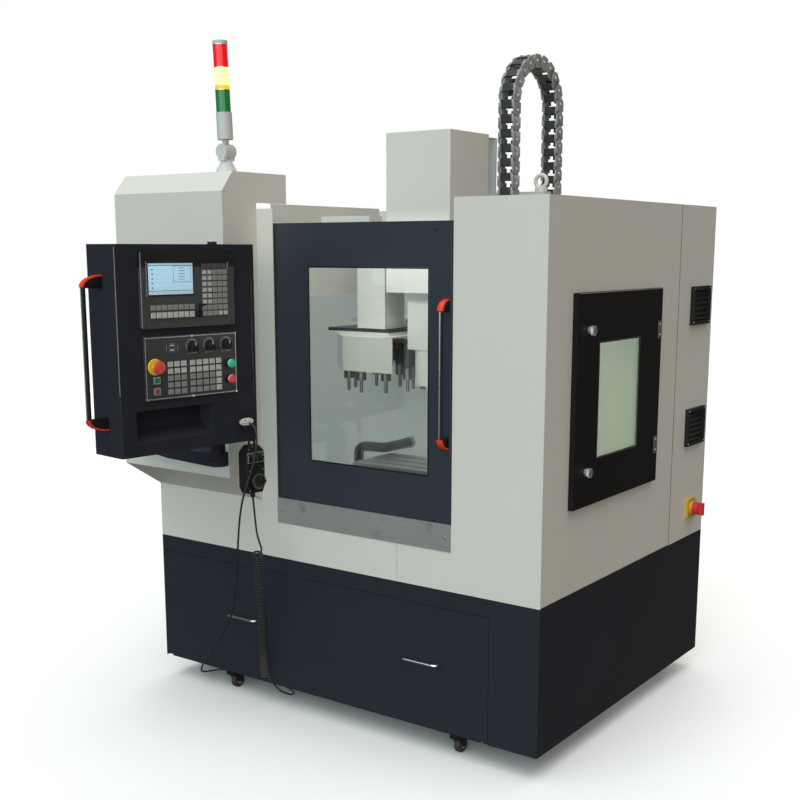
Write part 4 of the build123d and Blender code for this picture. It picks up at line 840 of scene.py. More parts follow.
class Repeats:
    """The trees for keys, ticks, screws and the ribbed hose, each built once."""

    def __init__(self) -> None:
        """Builds every tree."""
        self.caps = self.caps_tree()
        self.ticks = self.ticks_tree()
        self.screws = self.screws_tree()
        self.hose = self.hose_tree()

    @staticmethod
    def caps_tree() -> Repeater:
        """Tree of key caps in columns and rows; the first cap's middle is at the origin."""
        made = Repeater("cap_grid", {**dict.fromkeys(("Columns", "Rows"), "NodeSocketInt"),
                                     **floats("Pitch X", "Pitch Y", "Width", "Height", "Thick", "Taper")})
        graph, given, form = made.graph, made.given, made.form
        row = form("MeshLine", {"Count": given["Columns"],
                                "Offset": graph.vector(given["Pitch X"], 0.0, 0.0)})
        rise = form("MeshLine", {"Count": given["Rows"], "Offset": graph.vector(0.0, given["Pitch Y"], 0.0)})
        grid = form("InstanceOnPoints", {"Points": rise, "Instance": row})
        points = form("RealizeInstances", {"Geometry": grid})
        block = form("MeshCube", {"Size": graph.vector(given["Width"], given["Height"], given["Thick"])})
        middle = graph.math("DIVIDE", given["Thick"], 2.0)
        lifted = form("Transform", {"Geometry": block, "Translation": graph.vector(0.0, 0.0, middle)})
        facing = graph.add("ShaderNodeSeparateXYZ", {0: form("InputNormal", {})})
        top = graph.add("FunctionNodeCompare", {0: facing.outputs[2], 1: 0.9}, data_type="FLOAT",
                        operation="GREATER_THAN")
        cap = form("ScaleElements", {"Geometry": lifted, "Selection": top.outputs[0],
                                     "Scale": given["Taper"]})
        return made.close(form("InstanceOnPoints", {"Points": points, "Instance": cap}))

    @staticmethod
    def ticks_tree() -> Repeater:
        """Tree of radial bars spread over part of a circle about the origin."""
        made = Repeater("tick_ring", {"Count": "NodeSocketInt",
                                      **floats("Radius", "Start", "Step", "Length", "Width", "Thick")})
        graph, given, form = made.graph, made.given, made.form
        turn = graph.math("ADD", graph.math("MULTIPLY", form("InputIndex", {}), given["Step"]),
                          given["Start"])
        across, up = (graph.math("MULTIPLY", graph.math(wave, turn), given["Radius"])
                      for wave in ("COSINE", "SINE"))
        placed = form("SetPosition", {"Geometry": form("MeshLine", {"Count": given["Count"]}),
                                      "Position": graph.vector(across, up, 0.0)})
        bar = form("MeshCube", {"Size": graph.vector(given["Length"], given["Width"], given["Thick"])})
        return made.close(form("InstanceOnPoints", {"Points": placed, "Instance": bar,
                                                    "Rotation": graph.vector(0.0, 0.0, turn)}))

    @staticmethod
    def screws_tree() -> Repeater:
        """Tree of socket screw heads on the points of the base mesh, facing local Z."""
        made = Repeater("screw_field", floats("Radius", "Height", "Socket"))
        graph, given, form = made.graph, made.given, made.form
        disc = graph.add("GeometryNodeMeshCylinder", {
            "Vertices": 16, "Radius": given["Radius"], "Depth": given["Height"]}).outputs
        dome = form("ScaleElements", {"Geometry": disc[0], "Selection": disc["Top"], "Scale": 0.8})
        rim = graph.add("GeometryNodeExtrudeMesh", {
            "Mesh": dome, "Selection": disc["Top"], "Offset Scale": 0.0}).outputs
        hole = form("ScaleElements", {"Geometry": rim[0], "Selection": rim["Top"], "Scale": given["Socket"]})
        deep = form("ExtrudeMesh", {"Mesh": hole, "Selection": rim["Top"],
                                    "Offset Scale": graph.math("MULTIPLY", given["Height"], -0.6)})
        return made.close(form("InstanceOnPoints", {"Points": given["Geometry"], "Instance": deep}))

    @staticmethod
    def hose_tree() -> Repeater:
        """Tree of a hose with round ribs along the base curve."""
        made = Repeater("ribbed_hose", floats("Radius", "Rib", "Pitch"))
        graph, given, form = made.graph, made.given, made.form
        fine = form("ResampleCurve", {"Curve": given["Geometry"],
                                      "Length": graph.math("DIVIDE", given["Pitch"], RIB_STEPS)},
                    mode="LENGTH")
        wave = graph.math("SINE", graph.math("MULTIPLY", form("InputIndex", {}), 2 * math.pi / RIB_STEPS))
        sunk = graph.math("MULTIPLY", given["Rib"], graph.math("SUBTRACT", 1.0, wave))
        swell = graph.math("SUBTRACT", 1.0, sunk)
        wavy = form("SetCurveRadius", {"Curve": fine, "Radius": swell})
        ring = form("CurvePrimitiveCircle", {"Resolution": 20, "Radius": given["Radius"]})
        return made.close(form("CurveToMesh", {"Curve": wavy, "Profile Curve": ring, "Fill Caps": True}))


REPEATS = Repeats()

CREAM = Finish("cream_paint", (0.635, 0.63, 0.58), 0.45, mottle=0.05, spread=0.1, dust=0.2, dust_reach=0.9,
               coat=0.1, coat_roughness=0.3, grain_scale=260.0, grain_depth=0.00012)
CHARCOAL = Finish("charcoal_paint", (0.0235, 0.0248, 0.034), 0.5, mottle=0.3, spread=0.14, dust=0.006,
                  dust_reach=0.7, rub=0.08, rub_colour=(0.02, 0.02, 0.025), rub_scale=5.0, specular=0.07,
                  grain_scale=300.0, grain_depth=0.0001)
DOOR_BLUE = Finish("front_door_paint", (0.027, 0.032, 0.046), 0.32, mottle=0.25, spread=0.12, rub=0.12,
                   rub_colour=(0.07, 0.08, 0.095), rub_scale=4.0, grain_scale=300.0, grain_depth=0.0001)
DOOR_BLACK = Finish("side_door_paint", (0.0065, 0.0063, 0.006), 0.55, mottle=0.35, rub=0.1,
                    rub_colour=(0.03, 0.03, 0.03), rub_scale=6.0, specular=0.15)
CAST = Finish("cast_paint", (0.5, 0.51, 0.48), 0.55, mottle=0.12, grain_scale=120.0, grain_depth=0.0006)
STAINLESS = Finish("stainless", (0.69, 0.71, 0.68), 0.38, metallic=0.9, stretch=(1.2, 60.0, 420.0),
                   brush_depth=0.35, rub=0.3, rub_colour=(0.2, 0.2, 0.19), rub_scale=14.0,
                   grain_depth=0.00003)
STEEL = Finish("ground_steel", (0.45, 0.45, 0.44), 0.3, metallic=0.95, stretch=(3.0, 300.0, 90.0),
               brush_depth=0.3, grain_depth=0.00003)
KEY_GREEN = Finish("key_green", (0.01, 0.16, 0.06), 0.3, mottle=0.12, mottle_scale=25.0, coat=0.3)
KEY_RED = Finish("key_red", (0.35, 0.03, 0.04), 0.3, mottle=0.12, mottle_scale=25.0, coat=0.3)
CHROME = Finish("chrome", (0.72, 0.72, 0.71), 0.1, metallic=1.0, mottle=0.1, mottle_scale=20.0, spread=0.08)
SILVER = Finish("silver_line", (0.62, 0.63, 0.64), 0.28, metallic=0.8, mottle=0.1, mottle_scale=30.0)
BLACK = Finish("black_plastic", (0.0095, 0.0095, 0.0105), 0.5, mottle=0.3, mottle_scale=12.0, rub=0.2,
               rub_colour=(0.05, 0.05, 0.05), grain_scale=900.0, grain_depth=0.0001, specular=0.25)
GLOSS = Finish("gloss_black", (0.01, 0.01, 0.011), 0.16, mottle=0.3, mottle_scale=15.0, coat=0.4)
GREY = Finish("grey_plastic", (0.53, 0.54, 0.53), 0.6, mottle=0.12, mottle_scale=12.0, grain_scale=900.0)
HINGE = Finish("hinge_steel", (0.105, 0.098, 0.092), 0.4, mottle=0.2, mottle_scale=25.0)
PALE = Finish("pale_plastic", (0.62, 0.62, 0.58), 0.4, mottle=0.06, mottle_scale=14.0)
FILM = Finish("panel_film", (0.038, 0.042, 0.047), 0.32, mottle=0.2, mottle_scale=9.0, grain_scale=1500.0)
KEY_PALE = Finish("key_pale", (0.24, 0.25, 0.245), 0.5, mottle=0.12, mottle_scale=60.0)
KEY_WHITE = Finish("key_white", (0.5, 0.5, 0.48), 0.5, mottle=0.1, mottle_scale=60.0)
KEY_DARK = Finish("key_dark", (0.06, 0.062, 0.064), 0.5, mottle=0.2, mottle_scale=60.0)
RED = Finish("red_plastic", (0.52, 0.016, 0.012), 0.3, mottle=0.12, mottle_scale=25.0, coat=0.4)
GREEN = Finish("green_plastic", (0.045, 0.42, 0.095), 0.25, mottle=0.12, mottle_scale=25.0, coat=0.4)
RED_PALE = Finish("red_arrow", (0.75, 0.2, 0.15), 0.35, mottle=0.1, mottle_scale=30.0)
RED_BRIGHT = Finish("red_cap", (0.7, 0.08, 0.05), 0.3, mottle=0.1, mottle_scale=25.0, coat=0.3)
GREEN_BRIGHT = Finish("green_cap", (0.03, 0.6, 0.33), 0.3, mottle=0.1, mottle_scale=25.0, coat=0.3)
HAZE = Finish("screen_haze", (0.32, 0.55, 0.72), 0.3, mottle=0.1, mottle_scale=40.0, glow=0.3)
CONTROLLER = Finish("controller_film", (0.052, 0.054, 0.056), 0.34, mottle=0.2, mottle_scale=9.0,
                    bands=(Band(Axis.Z, 1596.0, 1700.0, (0.004, 0.004, 0.005)),))
YELLOW = Finish("yellow_plastic", (0.82, 0.59, 0.036), 0.3, mottle=0.08, mottle_scale=25.0)
ORANGE = Finish("orange_plastic", (0.8, 0.055, 0.013), 0.3, mottle=0.12, mottle_scale=20.0, coat=0.08,
                specular=0.3)
AMBER_PLATE = Finish("switch_plate", (0.56, 0.31, 0.01), 0.4, mottle=0.08, mottle_scale=25.0)
HOSE = Finish("hose_rubber", (0.007, 0.007, 0.0075), 0.4, mottle=0.25, mottle_scale=30.0)
RUBBER = Finish("rubber", (0.018, 0.018, 0.018), 0.6, mottle=0.25, mottle_scale=30.0, dust=0.25,
                dust_reach=0.25)
TREAD = Finish("wheel_tread", (0.02, 0.02, 0.021), 0.6, mottle=0.25, mottle_scale=30.0, dust=0.15,
               dust_reach=0.06)
LENS_RED = Finish("lens_red", (0.62, 0.004, 0.008), 0.2, mottle=0.15, mottle_scale=30.0, glow=0.6, coat=0.3)
LENS_AMBER = Finish("lens_amber", (0.95, 0.66, 0.16), 0.2, mottle=0.12, mottle_scale=30.0, glow=2.4, coat=0.5,
                    bands=(Band(Axis.Z, 2150.0, 2196.0, (0.34, 0.2, 0.006)),))
LENS_GREEN = Finish("lens_green", (0.008, 0.2, 0.045), 0.2, mottle=0.2, mottle_scale=30.0, glow=0.08,
                    coat=0.35)
SCREEN = Finish("screen_glow", (0.4, 0.64, 0.8), 0.25, mottle=0.05, mottle_scale=12.0, glow=0.42)
MARK = Finish("screen_marks", (0.12, 0.2, 0.3), 0.3, mottle=0.2, mottle_scale=80.0)
WHITE = Finish("white_mark", (0.75, 0.75, 0.72), 0.45, mottle=0.08, mottle_scale=60.0)
PIT = Finish("dark_gap", (0.006, 0.006, 0.006), 0.7, mottle=0.3, mottle_scale=20.0)
CARRIAGE = Finish("magazine_paint", (0.62, 0.62, 0.56), 0.4, mottle=0.06,
                  bands=(Band(Axis.Z, 1353.5, 1367.0, (0.03, 0.03, 0.034)),))
TOOLS = Finish("tool_steel", (0.02, 0.02, 0.02), 0.35, mottle=0.2, mottle_scale=20.0,
               bands=(Band(Axis.Z, 900.0, 1225.0, (0.2, 0.2, 0.19), 0.9),))
CHAIN = Finish("chain_plastic", (0.018, 0.018, 0.019), 0.42, mottle=0.2, mottle_scale=20.0,
               bands=tuple(Band(Axis.X, low, low + 12.0, (0.27, 0.265, 0.265)) for low in (326.0, 381.0)))
WINDOW = Glass("window_glass", (0.93, 0.96, 0.94))
SIDE_GLASS = Glass("side_window_glass", (0.84, 0.9, 0.75))

NODES: dict[Coating, str] = {
    CHARCOAL: "base_skirt coolant_tank console_box console_bracket",
    CHROME: "tank_handles",
    CREAM: "right_panel left_panel apron_panel magazine_bay electrical_cabinet cabinet_door door_rail "
           "spindle_head head_cover splash_guard chip_tray",
    STAINLESS: "sill_plate",
    BLACK: "cabinet_vents knob_mode knob_feed knob_spindle pendant_body caster_fork_left caster_fork_right",
    AMBER_PLATE: "main_switch_base",
    RED: "main_switch_knob estop_button stop_button",
    DOOR_BLUE: "front_door",
    WINDOW: "front_window",
    ORANGE: "door_handle console_handle",
    DOOR_BLACK: "side_door",
    SIDE_GLASS: "side_window",
    SILVER: "lock_upper lock_lower",
    CONTROLLER: "controller",
    FILM: "operation_panel",
    GREEN: "start_button",
    GLOSS: "pendant_dial",
    RUBBER: "pendant_lead pendant_curl drain_hose",
    GREY: "stack_pedestal stack_head",
    LENS_AMBER: "stack_lenses",
    STEEL: "spindle table levelling_feet",
    CHAIN: "z_drag_chain",
    PALE: "lifting_eyebolts",
    CARRIAGE: "magazine_carriage",
    CAST: "magazine_arm saddle base_casting column",
    TOOLS: "tool_carousel",
    TREAD: "wheel_left wheel_right wheels_rear"}


@dataclass
class Studio:
    """Camera at the photo's angle, pale floor and soft light."""

    eye: Point = (2481.5, -3026.1, 1650.0)
    pitch: float = 10.722
    yaw: float = 35.754
    lens: float = 52.5
    shift: float = 0.0875
    floor: float = 80.0
    ambient: float = 0.13
    ambient_colour: Colour = (1.0, 0.95, 0.88)

    def camera(self) -> None:
        """Adds the scene's camera."""
        data = bpy.data.cameras.new("photo_camera")
        data.lens = self.lens
        data.sensor_width = 36.0
        data.shift_y = self.shift
        data.clip_end = 60.0
        made = link("photo_camera", data)
        made.location = MACHINE @ Vector(self.eye)
        made.rotation_euler = (math.radians(90 - self.pitch), 0, math.radians(self.yaw))
        bpy.context.scene.camera = made

    def world(self) -> None:
        """Sets a white background and a dimmer, warm light from all around."""
        world = bpy.data.worlds.new("studio")
        world.use_nodes = True
        bpy.context.scene.world = world
        graph = Graph(world.node_tree)
        graph.tree.nodes.clear()
        path = graph.add("ShaderNodeLightPath")
        seen = graph.add("ShaderNodeBackground", {"Color": (1, 1, 1, 1), "Strength": 1.0})
        cast = graph.add("ShaderNodeBackground", {"Color": opaque(self.ambient_colour),
                                                  "Strength": self.ambient})
        mix = graph.add("ShaderNodeMixShader", {0: path.outputs["Is Camera Ray"], 1: cast.outputs[0],
                                                2: seen.outputs[0]})
        out = graph.add("ShaderNodeOutputWorld")
        graph.tree.links.new(mix.outputs[0], out.inputs[0])
        bpy.context.scene.view_settings.view_transform = "Standard"

    def sun(self, name: str, way: Point, strength: float, spread: float, colour: Colour,
            shadow: bool = True) -> None:
        """Adds an even, soft light from one direction.

        Args:
            name: the light's name.
            way: direction that the light travels.
            strength: its strength.
            spread: angle that it is spread over, in degrees.
            colour: its colour.
            shadow: whether things stand in its way.
        """
        data = bpy.data.lights.new(name, "SUN")
        data.energy = strength
        data.angle = math.radians(spread)
        data.color = colour
        data.use_shadow = shadow
        made = link(name, data)
        made.location = MACHINE @ Vector((0, -2000, 3000))
        made.rotation_euler = Vector(way).to_track_quat("-Z", "Y").to_euler()

    def lamp(self, name: str, spot: Point, aim: Point, size: Pair, power: float) -> None:
        """Adds a small area light.

        Args:
            name: the light's name.
            spot: its place in machine millimetres.
            aim: the point it faces.
            size: its width and height in metres.
            power: its power in watts.
        """
        data = bpy.data.lights.new(name, "AREA")
        data.shape = "RECTANGLE"
        data.size, data.size_y = size
        data.energy = power
        made = link(name, data)
        made.location = MACHINE @ Vector(spot)
        made.rotation_euler = (Vector(aim) - Vector(spot)).to_track_quat("-Z", "Y").to_euler()

    def ground(self) -> None:
        """Adds the floor as a slightly worn pale sheet."""
        form = Finish("floor_paint", (0.95, 0.95, 0.945), 0.7, mottle=0.01, mottle_scale=1.0)
        made = Solid(HERE)
        half = self.floor / 2
        made.box((-half, -half, -0.03), (half, half, -0.0005), form, 0.004)
        data = bpy.data.meshes.new("studio_floor")
        made.mesh.to_mesh(data)
        made.mesh.free()
        data.materials.append(form.build())
        floor = link("studio_floor", data)
        floor.visible_diffuse = False
        floor.visible_glossy = False

    def build(self) -> None:
        """Adds everything."""
        self.camera()
        self.world()
        self.ground()
        self.sun("front_sun", (0.1, 0.87, -0.48), 1.2, 60.0, (0.6, 0.9, 1.0), False)
        self.sun("camera_sun", (-0.55, 0.8, -0.24), 1.65, 70.0, (1.0, 0.9, 0.8))
        self.sun("top_sun", (-0.05, 0.12, -1.0), 2.1, 70.0, (1.0, 1.0, 1.0))
        self.sun("back_sun", (0.3, -0.85, -0.4), 0.9, 60.0, (1.0, 0.97, 0.92))
        self.lamp("work_light", (136, 130, 1690), (136, 480, 1000), (0.5, 0.08), 1.0)
        LOG.info("studio: camera, world, floor and five lights")


@dataclass
class PendantCord:
    """Handwheel cord: from the console's socket down, over the floor and up again as a curly stretch."""

    start: Point = (-125.87, -248.5, 1091.0)
    lead: tuple[Point, ...] = (
        (-106, -251, 1087), (-92, -254, 1072), (-86, -257, 1046), (-86, -262, 1004), (-97, -273, 940),
        (-122, -284, 868), (-146, -278, 806), (-171, -264, 732), (-197, -244, 650), (-226, -222, 570),
        (-264, -190, 487), (-300, -164, 424), (-346, -130, 362), (-400, -100, 306), (-458, -74, 250),
        (-524, -52, 184), (-590, -34, 110), (-640, -4, 58), (-684, 44, 24), (-706, 96, 5), (-690, 140, 4),
        (-640, 164, 4), (-560, 172, 4), (-470, 170, 4), (-390, 164, 4), (-320, 150, 4), (-270, 118, 6),
        (-252, 72, 20), (-262, 24, 48), (-282, -28, 105))
    curl_end: Point = (-161, -185, 650)
    tail: tuple[Point, ...] = ((-150, -199, 702), (-146, -209, 752), (-155.73, -208.14, 834.0))
    diameter: float = 6.6
    curl_radius: float = 14.6
    curl_pitch: float = 10.0
    curl_ease: float = 40.0
    per_turn: int = 14

    def helix(self) -> list[Vector]:
        """Points of the curly stretch; its turns tighten over the first and ease over the last stretch."""
        foot, head = Vector(self.lead[-1]), Vector(self.curl_end)
        along = head - foot
        side = along.orthogonal().normalized()
        across = along.normalized().cross(side)
        arc = 2 * math.pi * self.curl_radius / self.per_turn
        rise, turn = 0.0, 0.0
        made: list[Vector] = []
        while rise < along.length:
            round_off = side * math.cos(turn) + across * math.sin(turn)
            made.append(foot + along.normalized() * rise + round_off * self.curl_radius)
            share = min(1.0, rise / self.curl_ease, (along.length - rise) / self.curl_ease)
            rate = 2 * math.pi / self.curl_pitch * share
            step = arc / math.hypot(1.0, rate * self.curl_radius)
            rise += step
            turn += rate * step
        return made

    @staticmethod
    def run(route: list[Vector]) -> float:
        """Length of the smooth curve over its control points."""
        middles = [(before + after) / 2 for before, after in zip(route, route[1:])]
        total = (middles[0] - route[0]).length + (route[-1] - middles[-1]).length
        for before, corner, after in zip(middles, route[1:], middles[1:]):
            bent = (corner - before).length + (after - corner).length
            total += (2 * (after - before).length + bent) / 3
        return total

    def build(self) -> bpy.types.Object:
        """Adds the cord as one open curve.

        Returns:
            The cord.
        """
        route = [Vector(self.start), *(Vector(spot) for spot in self.lead[:-1]), *self.helix(),
                 *(Vector(spot) for spot in self.tail)]
        data = smooth_curve("pendant_cord", [MACHINE @ spot for spot in route], 3)
        data.bevel_depth = self.diameter / 2 * MM
        data.bevel_resolution = 3
        data.use_fill_caps = True
        data.materials.append(RUBBER.build())
        made = link("pendant_cord", data)
        length = self.run(route) * MM
        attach(made, Body.CONSOLE.value)
        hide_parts("pendant_lead", "pendant_curl")
        tuple(MACHINE @ Vector(self.start))
        LOG.info("cord pendant_cord: %.2f m", length)
        return made


# The console's own frame: millimetres from its swivel's axis, turned as it stands at rest.
CONSOLE_AXIS, CONSOLE_TURN = (-229.5, -291.0, 0), math.radians(82.3)
CONSOLE = MACHINE @ Matrix.Translation(CONSOLE_AXIS) @ Matrix.Rotation(CONSOLE_TURN, 4, "Z")


@dataclass
class BowHandle:
    """Bow handle: two black feet with a bright outer strip and a dark bar with a silver line."""

    low: float
    high: float
    standoff: float
    bar_radius: float = 8.0
    cap_half: float = 9.5
    foot: float = 40.0
    tip: float = 20.0

    def build(self, name: str, place: Matrix, body: Body, replaced: str) -> None:
        """Adds the handle, standing out along local -Y from Y = 0.

        Args:
            name: the piece's name.
            place: from the handle's frame to the row frame.
            body: CAD body it moves with.
            replaced: CAD node it stands for.
        """
        made = Solid(place)
        reach = -self.standoff - self.bar_radius
        for z, way in ((self.low, 1), (self.high, -1)):
            foot, half = z + way * (self.foot + self.tip) / 2, way * self.tip / 2
            turns = [math.radians(90 - 15 * step) for step in range(7)]
            inner = [((reach + 7) * math.sin(turn), z + half * (2.6 - 3.1 * math.cos(turn)))
                     for turn in turns]
            outer = [(reach * math.sin(turn), z + half * (2.6 - 3.6 * math.cos(turn)))
                     for turn in reversed(turns)]
            strip = [*outer, *inner]
            made.prism(strip, Axis.X, -self.cap_half, self.cap_half, ORANGE, 0.8)
            block = [*inner, (0, foot), (reach * 0.6, foot)]
            made.prism(block, Axis.X, -self.cap_half + 1, self.cap_half - 1, BLACK, 1.2)
        made.rod([(0, -self.standoff, self.low + self.tip * 1.25),
                  (0, -self.standoff, self.high - self.tip * 1.25)], self.bar_radius - 0.5, BLACK, 24)
        inset = self.tip * 1.4
        made.box((-2.2, reach, self.low + inset), (2.2, reach + 3, self.high - inset), SILVER, 0.2)
        made.piece(name, body, Slot.ORANGE, replaced)


@dataclass
class Console:
    """Swivel console: controller, operation panel, knobs, buttons, handle and pendant."""

    left: float = -415.0
    face: float = -75.0
    low: float = 1028.0
    high: float = 1665.0
    controller_x: Pair = (-335.0, 17.0)
    controller_z: Pair = (1414.0, 1644.0)
    controller_face: float = -85.0
    screen_x: Pair = (-307.0, -141.0)
    screen_z: Pair = (1514.0, 1609.0)
    panel_x: Pair = (-328.0, 24.0)
    panel_z: Pair = (1195.0, 1390.0)
    panel_face: float = -81.0
    knob_x: tuple[float, ...] = (-152.0, -85.5, -19.0)
    knob_z: float = 1354.0
    stop: Pair = (-292.0, 1298.0)
    key_low: float = 1217.6
    key_step: float = 21.2
    key_taper: float = 0.92
    bore: float = 7.4
    button_x: float = -10.0
    button_z: Pair = (1291.0, 1241.0)
    keypad: Pair = (-101.0, 1453.0)
    soft_x: float = -293.8
    pendant_x: float = 92.0
    pendant_face: float = -83.0

    def build(self) -> None:
        """Adds the console's pieces."""
        self.screen()
        self.controller_keys()
        self.panel()
        for body, x in zip((Body.KNOB_MODE, Body.KNOB_FEED, Body.KNOB_SPINDLE), self.knob_x):
            self.knob(body, x)
        self.buttons()
        self.trim()
        grip = CONSOLE @ at(self.left, 0, 0, Matrix.Rotation(math.radians(-90), 4, "Z"))
        BowHandle(1119.0, 1566.0, 62.0).build("console_bow_handle", grip, Body.CONSOLE, "console_handle")

    def screen(self) -> None:
        """Adds the lit screen with its window, icons and bars, and the bezel's bright edges."""
        made = Solid(CONSOLE)
        (x0, x1), (z0, z1) = self.screen_x, self.screen_z
        y = self.controller_face
        made.box((x0 + 1, y + 1.2, z0 + 1), (x1 - 1, y + 2.2, z1 - 1), SCREEN, 0.3)
        glass = y + 1.2
        made.box((x0 + 2, glass - 0.25, z0 + 11), (x1 - 2, glass + 0.3, z0 + 13), MARK, 0.1)
        made.box((x0 + 2, glass - 0.25, z1 - 8), (x1 - 2, glass + 0.3, z1 - 6), MARK, 0.1)
        made.keys(1, 5, (10, 13.6), (6, 4.6, 0.5), MARK, front(x0 + 16, glass + 0.2, z0 + 21), 0.9)
        made.keys(1, 5, (10, 13.6), (46, 1.0, 0.5), HAZE, front(x0 + 50, glass + 0.2, z0 + 21), 0.98)
        made.border((x0 + 92, z0 + 37), (x1 - 8, z1 - 9), 1.2, Axis.Y, glass - 0.3, glass + 0.3, MARK, 0.0)
        made.keys(1, 5, (10, 8.4), (22, 1.6, 0.5), MARK, front(x0 + 124, glass + 0.2, z0 + 46), 0.98)
        made.keys(8, 1, (19.6, 10), (16.5, 5, 0.5), WHITE, front(x0 + 14.5, glass - 0.1, z0 + 6.5), 0.95)
        made.border((x0 - 4, z0 - 4), (x1 + 4, z1 + 4), 4.5, Axis.Y, y - 1.2, y + 1.0, GLOSS, 0.8)
        made.box((x0 - 6.5, y - 1.0, z0 - 5), (x0 - 4.6, y + 0.5, z1 + 5), SILVER, 0.2)
        edge, top = self.controller_x, self.controller_z
        made.box((edge[0] + 0.5, y - 0.8, top[0] + 3), (edge[0] + 3.5, y + 0.5, top[1] - 3), SILVER, 0.3)
        made.box((-8.5, y - 0.8, top[1] - 56), (-6.0, y + 0.5, top[1] - 34), SILVER, 0.3)
        spots = [(x, z, 0.4) for x in (edge[0] + 16, edge[1] - 12) for z in (top[0] + 9, top[1] - 9)]
        made.heads(spots, 3.2, 1.6, PIT, front(0, y, 0))
        made.piece("controller_screen", Body.CONSOLE, Slot.PANEL)

    def controller_keys(self) -> None:
        """Adds the keypad, the two rows of soft keys and the port cap of the controller."""
        made = Solid(CONSOLE)
        y = self.controller_face - 2.4
        pitch = (20.0, 18.1)
        left, low = self.keypad
        size = (17.2, 15.2, 2.0)
        made.keys(5, 8, pitch, size, KEY_PALE, front(left, y, low))
        made.keys(5, 1, pitch, size, KEY_DARK, front(left, y, low + 8 * pitch[1]))
        made.keys(2, 6, pitch, (13.0, 11.6, 2.4), KEY_WHITE, front(left, y, low + 2 * pitch[1]))
        made.keys(2, 1, pitch, (14.5, 12.5, 2.4), KEY_WHITE, front(left + 3 * pitch[0], y, low))
        made.keys(8, 1, (20.5, 20), (17.6, 15.6, 1.8), KEY_PALE, front(self.soft_x, y, 1475.6))
        made.keys(8, 1, (20.5, 20), (17.6, 17.6, 1.8), KEY_WHITE, front(self.soft_x, y, 1453.2))
        made.lathe([(0, 0), (13, 0), (13, 4.5), (10.5, 7.0), (0, 7.6)], BLACK, front(-126, y + 1.6, 1455), 28)
        made.prism([(-130, 1462), (-122, 1462), (-118, 1476), (-98, 1479), (-98, 1483), (-124, 1482)], Axis.Y,
                   y - 4.0, y + 1.5, BLACK, 0.8)
        made.piece("controller_keys", Body.CONSOLE, Slot.GREY)

    def panel(self) -> None:
        """Adds the operation panel with its film, frame line, screws, key blocks and collars."""
        made = Solid(CONSOLE)
        (x0, x1), (z0, z1) = self.panel_x, self.panel_z
        y = self.panel_face
        made.box((x0, y, z0), (x1, self.face, z1), FILM, 1.2)
        made.border((x0 + 3, z0 + 3), (x1 - 3, z1 - 3), 2.6, Axis.Y, y - 0.5, y + 0.4, SILVER, 0.2)
        spots = [(x, z, 0.6) for z in (z0 + 4, z1 - 4) for x in (x0 + 5, (x0 + x1) / 2, x1 - 5)]
        made.heads(spots, 4.6, 2.4, CHROME, front(0, y, 0))
        for left, wide, columns in ((-248.0, 76.0, 3), (-164.0, 127.0, 5)):
            step = wide / columns
            size = (step - 6.4, 16.4, 2.5)
            for rows, skip, finish in ((3, 0, KEY_PALE), (2, 3, KEY_WHITE)):
                z = self.key_low + skip * self.key_step
                made.keys(columns, rows, (step, self.key_step), size, finish, front(left + step / 2, y, z),
                          self.key_taper)
        made.keys(1, 3, (10, self.key_step), (19.4, 16.8, 2.9), KEY_WHITE,
                  front(-164.0 + 127.0 * 0.9, y, self.key_low), self.key_taper)
        for z, finish in ((1256.5, KEY_GREEN), (1223.0, KEY_RED)):
            made.border((-299, z - 11), (-277, z + 11), 3.0, Axis.Y, y - 5.0, y + 0.5, SILVER, 0.8)
            made.box((-296.2, y - 6.0, z - 8.2), (-279.8, y + 0.5, z + 8.2), finish, 1.4)
        foot = (self.bore, 0)
        plate = [foot, (self.bore, 8.0), (10.0, 8.0), (10.4, 4.0), (24.0, 4.0), (25.0, 3.0), (25.0, 0.0),
                 foot]
        made.lathe(plate, YELLOW, front(self.stop[0], y, self.stop[1]), 48)
        collar = [foot, (self.bore, 6.0), (13.6, 6.0), (15.0, 4.6), (15.0, 0), foot]
        for z in self.button_z:
            made.lathe(collar, BLACK, front(self.button_x, y, z), 32)
        for x in self.knob_x:
            made.ring(15, 21.0, (-20, 200), (4.6, 1.3, 0.8), WHITE, front(x, y, self.knob_z))
            made.box((x - 17, y - 0.5, self.knob_z - 23), (x + 17, y + 0.4, self.knob_z - 21.6), SILVER, 0.1)
        made.border((-236, 1340), (-216, 1366), 1.2, Axis.Y, y - 0.4, y + 0.4, KEY_PALE, 0.0)
        made.keys(1, 2, (10, 14), (13, 3.4, 0.6), WHITE, front(-226, y, 1346), 0.9)
        made.keys(2, 1, (42, 10), (1.4, 20, 0.6), KEY_PALE, front(-247, y, 1352), 0.9)
        made.piece("operation_panel_face", Body.CONSOLE, Slot.PANEL, "operation_panel")

    def knob(self, body: Body, x: float) -> None:
        """Adds a rotary switch knob.

        Args:
            body: CAD body of the knob.
            x: its place across the panel.
        """
        made = Solid(CONSOLE)
        place = front(x, self.panel_face - 0.5, self.knob_z)
        made.lathe([(0, 0), (16, 0), (16, 2.6), (14.8, 4), (12.2, 4.4), (11.8, 16.4), (10.4, 17.8),
                    (0, 18.0)], BLACK, place, 36)
        made.ring(18, 12.1, (0, 340), (1.6, 2.2, 11.0), BLACK, place @ at(0, 0, 11.0))
        wing = [(-5, 13), (5, 13), (11.5, -9), (14, -15), (-14, -15), (-11.5, -9)]
        made.prism(wing, Axis.Z, 4.0, 20.6, BLACK, 1.6, place)
        made.box((-1.3, 2.0, 20.0), (1.3, 12.4, 21.2), WHITE, 0.4, place)
        made.piece(body.value + "_grip", body, Slot.BLACK, body.value)

